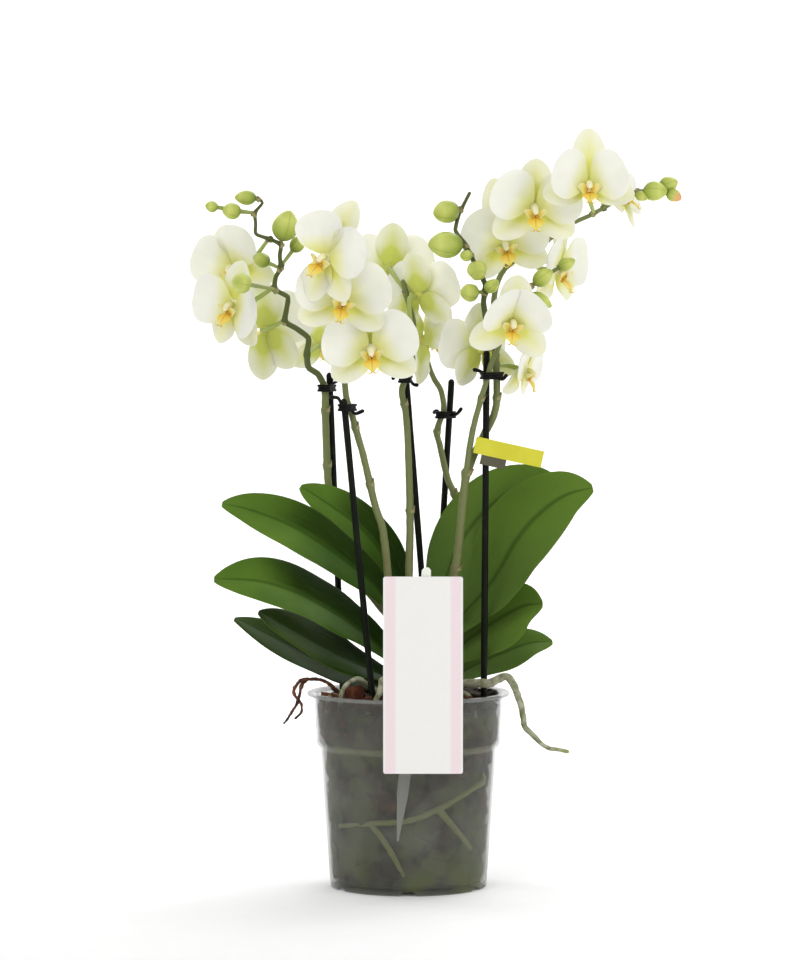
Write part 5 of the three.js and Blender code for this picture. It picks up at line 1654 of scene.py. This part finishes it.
def side_lobe_surface(side):
    """A side lobe, which stands up beside the column; side is -1 on the left and 1 on the right."""
    def surface(u, v):
        width = 3.9 * math.sin(math.pi * mix(0.25, 1, u)) ** 0.7
        return Vector((
            side * (0.8 + 6.0 * u - 0.6 * v * v * u),
            -5 + 3.8 * u + v * width * 0.76,
            4.6 + 2.6 * u + v * width * 0.6 + 1.1 * v * v,
        ))
    return surface


def lip(bloom):
    """The lip of one bloom: its middle lobe, and a side lobe, a whisker and half a callus each side."""
    form = Form()
    blade(form, tongue_surface, 20, 12, 1.0, TONGUE)
    for side in (-1, 1):
        blade(form, side_lobe_surface(side), 14, 12, 0.8, SIDE_LOBE)
        whisker = [Vector((side * x, y, z)) for x, y, z in WHISKER]
        tube(form, smooth_path(whisker, 0.5), lambda share: mix(0.42, 0.2, share), 6, tone=SIDE_LOBE)
        callus = [Vector((side * x, y, z)) for x, y, z in CALLUS]
        tube(form, smooth_path(callus, 0.4), lambda share: 0.9 - 0.3 * share, 8, tone=TONGUE)
    put(bloom_matrix(bloom), form)
    return form


print("the lip's tip, from the bloom's middle, in mm:", tuple(round(way, 1) for way in tongue_surface(1, 0)))


# %% Spikes and buds
BUD_STALK_RADII = (0.95, 1.35)
FLOWER_STALK_RADII = (1.15, 1.7)
STALK_REACH = {"bud": 1.5, "bloom": 7, "gap": 0.4}


def spikes():
    stalk_green = stalk_finish()
    bud_green = bud_finish()
    for spike in SPIKES.values():
        for route in spike["routes"]:
            looseness = 0.5 if route["path"][0][2] > RACHIS_START else 1.0
            route["line"] = smooth_path(mm(route["path"]), 1.5, looseness)
    for name, spike in SPIKES.items():
        own_blooms = [bloom for bloom_name, bloom in BLOOMS.items()
                      if SPIKE_OF_BLOOM[bloom_name.split("_")[0]] == name]
        starts = [spec["from"] for spec in spike["buds"]] + [bloom["stalk"] for bloom in own_blooms]
        form = stalks(name, spike, [nearest_on(spike, start)[0] for start in starts])
        eggs = Form()
        for spec in spike["buds"]:
            stalk_end, along = bud(eggs, spike, spec)
            before = stalk_end - along * STALK_REACH["bud"]
            side_stalk(form, spike, spec["from"], stalk_end, [before], BUD_STALK_RADII, BUD_STALK)
        for bloom in own_blooms:
            matrix = bloom_matrix(bloom)
            end = matrix @ Vector((0, 0, -BLOOM["back"] - STALK_REACH["gap"]))
            before = matrix @ Vector((0, 0, -BLOOM["back"] - STALK_REACH["bloom"]))
            side_stalk(form, spike, bloom["stalk"], end, [before], FLOWER_STALK_RADII, FLOWER_STALK)
        piece(f"stalks_{name}", form, stalk_green, [f"spike_{name}"])
        if spike["buds"]:
            piece(f"buds_{name}", eggs, bud_green, [f"spike_{name}"])


spikes()
print("spikes:", ", ".join(SPIKES))

# %% Blooms
PETAL_SEED = 7


def blooms():
    petal_white = petal_finish()
    lip_gold = lip_finish()
    dice = random.Random(PETAL_SEED)
    for name, bloom in BLOOMS.items():
        piece(f"flower_{name}", flower(bloom, dice), petal_white, [f"bloom_{name}"])
        stands_for = [f"lip_{name}"] if name in BLOOMS_WITH_LIP else []
        piece(f"lobes_{name}", lip(bloom), lip_gold, stands_for)


blooms()
print("blooms:", len(BLOOMS))

# %% [markdown]
# ## Clips
# Small black clips hold each spike to its stake: a springy belt round both, and loose prongs that
# the grower pinches to open it. The belt is a thin web between two stouter rings. All three follow
# the tightest line round their circles. For every direction the furthest point of all the circles
# lies on that line, which needs no search for tangents.

# %% Clip places
CLIPS = {
    "far_left": {
        "height": 294.6,
        "stalks": [(-50.1, 27.6, 2.3)],
        "prongs": [
            [(-46, 32, 298), (-43.6, 30, 306), (-45, 29, 313)],
            [(-46, 36, 297), (-42, 38, 299), (-39, 38, 303)],
        ],
    },
    "front_left": {
        "height": 284.5,
        "stalks": [(-34.4, -25, 2.3)],
        "prongs": [
            [(-34, -29, 284), (-31, -31, 281), (-26.8, -32, 282.5)],
            [(-39, -32, 286), (-41, -31, 290), (-45, -30, 290.5)],
        ],
    },
    "middle": {
        "height": 300.5,
        "stalks": [(-2, -3, 2.3)],
        "prongs": [
            [(-4, 1, 300), (-7, 0, 303), (-9, -1, 301)],
            [(1, 0, 300), (3, -1, 297.5), (5, -2, 297)],
        ],
    },
    "back_right": {
        "height": 278.5,
        "stalks": [(20.2, 31, 2.3)],
        "prongs": [
            [(26, 33, 278), (29, 32, 279), (31.5, 31, 282)],
            [(19, 35, 279), (17, 34, 281), (15.5, 33, 280)],
        ],
    },
    "front_right": {
        "height": 303,
        "stalks": [(46.3, -28.5, 1.9), (51.6, -19.5, 2.4)],
        "prongs": [
            [(45, -28, 304), (41, -28, 306), (38.5, -29, 306.5)],
            [(51, -25, 302), (55, -26, 301), (57, -26, 303)],
        ],
    },
}
CLIP = {
    "height": 4.5, "wall": 1.3, "play": 0.85, "prong": 1.0, "ring": 1.6, "web": 0.7, "web_inset": 0.4,
}
print("clips to make:", len(CLIPS))


# %% Clips
def tight_line(circles, grow, turn):
    """The place furthest out in one direction on circles that have all grown by the same amount."""
    way = Vector((math.cos(turn), math.sin(turn)))
    x, y, radius = max(circles, key=lambda c: c[0] * way.x + c[1] * way.y + c[2])
    return x + (radius + grow) * way.x, y + (radius + grow) * way.y


def belt(form, circles, height, wall, low):
    """A rounded band round the circles, made as a closed ring of small rounded sections."""
    section = []
    for step in range(12):
        turn = 2 * math.pi * (step + 0.5) / 12
        square = 1 / max(abs(math.cos(turn)), abs(math.sin(turn))) ** 0.75
        out, up = math.cos(turn) * square / 1.13, math.sin(turn) * square / 1.13
        section.append((0.5 + 0.5 * out, 0.5 + 0.5 * up))
    rings = []
    for step in range(64):
        turn = 2 * math.pi * step / 64
        ring = []
        for out, up in section:
            x, y = tight_line(circles, CLIP["play"] + wall * out, turn)
            ring.append(Vector((x, y, low + height * up)))
        rings.append(ring)
    form.loft(rings, closed=True)


def clips():
    black = coated_finish("black plastic", tint(9, 9, 9), tint(26, 26, 24), 0.34)
    for name, clip in CLIPS.items():
        middle = stake_at(name, clip["height"])
        circles = [(middle.x, middle.y, STAKE_RADIUS), *clip["stalks"]]
        form = Form()
        web_height = CLIP["height"] - 2 * CLIP["web_inset"]
        web_low = clip["height"] - CLIP["height"] / 2 + CLIP["web_inset"]
        belt(form, circles, web_height, CLIP["web"], web_low)
        for ring_low in (-CLIP["height"] / 2, CLIP["height"] / 2 - CLIP["ring"]):
            belt(form, circles, CLIP["ring"], CLIP["wall"], clip["height"] + ring_low)
        for path in clip["prongs"]:
            line = smooth_path(mm(path), 0.8)
            tube(form, line, lambda share: CLIP["prong"] * mix(0.8, 1.2, share), 10)
        piece(f"belt_{name}", form, black, [f"clip_{name}"])


clips()
print("clips:", len(CLIPS))

# %% [markdown]
# ## Plant tag
# A white card on a clear stick. The card is thin board with a pale pink band near each long edge;
# the band is paint, so it lives in the finish and not in the mesh. The stick is moulded, rounded at
# its head and pointed in the bark.

# %% Tag sizes
CARD = {"width": 46, "height": 114, "thickness": 0.6, "left": -14.6, "bottom": 74, "y": -63.4, "corner": 1.2}
BAND = {"start": 0.5, "fade_in": 1.2, "end": 8.2, "fade_out": 2.2}
STICK_HALF = 0.6
STICK = [
    (10.4, -62.3, 193.2, 2.2), (10.4, -62.25, 192.7, 3.6), (10.3, -62.2, 191.6, 5.2), (9.8, -61.6, 182, 6.4),
    (2.6, -52.7, 115.5, 7.8), (-0.9, -49, 83, 7.6), (-3.4, -47.4, 60, 6.6), (-6.3, -45.6, 32.4, 1),
]
print("stick from", STICK[0][2], "down to", STICK[-1][2], "mm")


# %% Tag finishes
def card_finish():
    finish = Finish("tag board", {"Specular IOR Level": 0.4})
    x = finish.coordinate("X")
    middle = (CARD["left"] + CARD["width"] / 2) * MM
    inward = CARD["width"] / 2 * MM - abs(x - middle)
    band = finish.rise(inward, BAND["start"] * MM, (BAND["start"] + BAND["fade_in"]) * MM)
    band = band * finish.rise(inward, BAND["end"] * MM, (BAND["end"] - BAND["fade_out"]) * MM)
    fibre = finish.noise(900, 3)
    pulp = finish.blend(fibre, tint(236, 235, 231), tint(243, 242, 239))
    return finish.shade(
        base_color=finish.blend(band * 0.9, pulp, tint(240, 221, 225)),
        roughness=0.42 + fibre * 0.15,
        normal=finish.bump(fibre, 0.06, 0.0003),
    )


def clear_finish():
    finish = Finish("frosted plastic", {"IOR": 1.49})
    frost = finish.noise(140, 3)
    return finish.shade(
        base_color=finish.blend(frost, tint(238, 241, 226), tint(250, 251, 244)),
        roughness=frost * 0.2 + 0.18,
        alpha=0.95 + frost * 0.05,
        normal=finish.bump(frost, 0.08, 0.0005),
    )


print("tag finishes ready: board and clear plastic")


# %% Tag
def plate_section(half_width, half_thickness, edge):
    """A flat section with softened corners, as (across, thick) pairs."""
    pairs = []
    for x_way, y_way, order in ((-1, -1, 1), (1, -1, -1), (1, 1, 1), (-1, 1, -1)):
        near = (x_way * half_width, y_way * (half_thickness - edge))
        away = (x_way * (half_width - edge), y_way * half_thickness)
        pairs.extend((near, away)[::order])
    return pairs


def card():
    form = Form()
    rings = []
    half = CARD["width"] / 2
    for step in range(33):
        z = CARD["height"] * (0.5 - 0.5 * math.cos(math.pi * step / 32))
        near_end = min(z, CARD["height"] - z)
        rounding = max(0, CARD["corner"] - near_end)
        inset = CARD["corner"] - math.sqrt(max(0, CARD["corner"] ** 2 - rounding**2))
        section = plate_section(half - inset, CARD["thickness"] / 2, 0.08)
        middle = Vector((CARD["left"] + half, CARD["y"], CARD["bottom"] + z))
        rings.append([middle + Vector((x, y, 0)) for x, y in section])
    form.loft(rings)
    piece("tag_board", form, card_finish(), ["tag_card"], sharp=30)


def stick():
    form = Form()
    rings = []
    for x, y, z, width in STICK:
        section = plate_section(width / 2, STICK_HALF, 0.25)
        rings.append([Vector((x + across, y + thick, z)) for across, thick in section])
    form.loft(rings)
    piece("tag_stake", form, clear_finish(), ["tag_stick"], sharp=40)


card()
stick()
print("tag", CARD["width"], "by", CARD["height"], "mm")

# %% [markdown]
# ## Strap label
# A yellow plastic strap is folded once round the right-hand stake and hangs slightly down to the
# right; a narrower dark end shows under it. The loop is the same kind of ring as a clip's belt, and
# the flag is a thin plate with a slight bow, because a strap never stays quite flat.

# %% Strap label
LABEL = {
    "length": 40.5, "height": 9.8, "thickness": 0.8, "tilt": 12.5, "on_stake": 261.3, "overhang": 6.6,
    "loop": 5, "loop_play": 1.1, "tab_length": 15, "tab_height": 5.6, "tab_start": 5, "bow": 0.7,
}


def strap_finish(name, first, second):
    finish = Finish(name, {"IOR": 1.46})
    cloud = finish.noise(90, 3)
    fine = finish.noise(1200, 2)
    return finish.shade(
        base_color=finish.blend(cloud, first, second),
        roughness=0.34 + cloud * 0.14,
        normal=finish.bump(fine, 0.05, 0.0002),
    )


def strap(form, start, length, low, high, y):
    """A thin plate along X with softened edges and a slight bow."""
    rings = []
    half = (high - low) / 2
    for step in range(17):
        x = start + length * step / 16
        bow = LABEL["bow"] * math.sin(math.pi * (x + LABEL["overhang"]) / LABEL["length"])
        section = plate_section(half, LABEL["thickness"] / 2, 0.12)
        rings.append([Vector((x, y - bow + thick, low + half + up)) for up, thick in section])
    form.loft(rings)


def label():
    stake = stake_at("front_right", LABEL["on_stake"])
    inner = STAKE_RADIUS + LABEL["loop_play"]
    y = -inner - LABEL["thickness"] * 0.6
    hang = Matrix.Translation(stake) @ Matrix.Rotation(math.radians(LABEL["tilt"]), 4, "Y")
    half = LABEL["height"] / 2
    flag = Form()
    strap(flag, -LABEL["overhang"], LABEL["length"], -half, half, y)
    grow = inner - CLIP["play"]
    belt(flag, [(0, 0, grow)], LABEL["loop"], CLIP["wall"], -LABEL["loop"] / 2)
    put(hang, flag)
    yellow = strap_finish("yellow strap", tint(204, 198, 36), tint(220, 215, 66))
    piece("strap_flag", flag, yellow, ["label"], sharp=35)
    tab = Form()
    tab_from = LABEL["tab_start"] - LABEL["overhang"]
    strap(tab, tab_from, LABEL["tab_length"], -half - LABEL["tab_height"], -half, y)
    put(hang, tab)
    piece("strap_end", tab, strap_finish("dark strap", tint(70, 68, 50), tint(96, 94, 74)), sharp=35)


label()
print("label", LABEL["length"], "by", LABEL["height"], "mm")
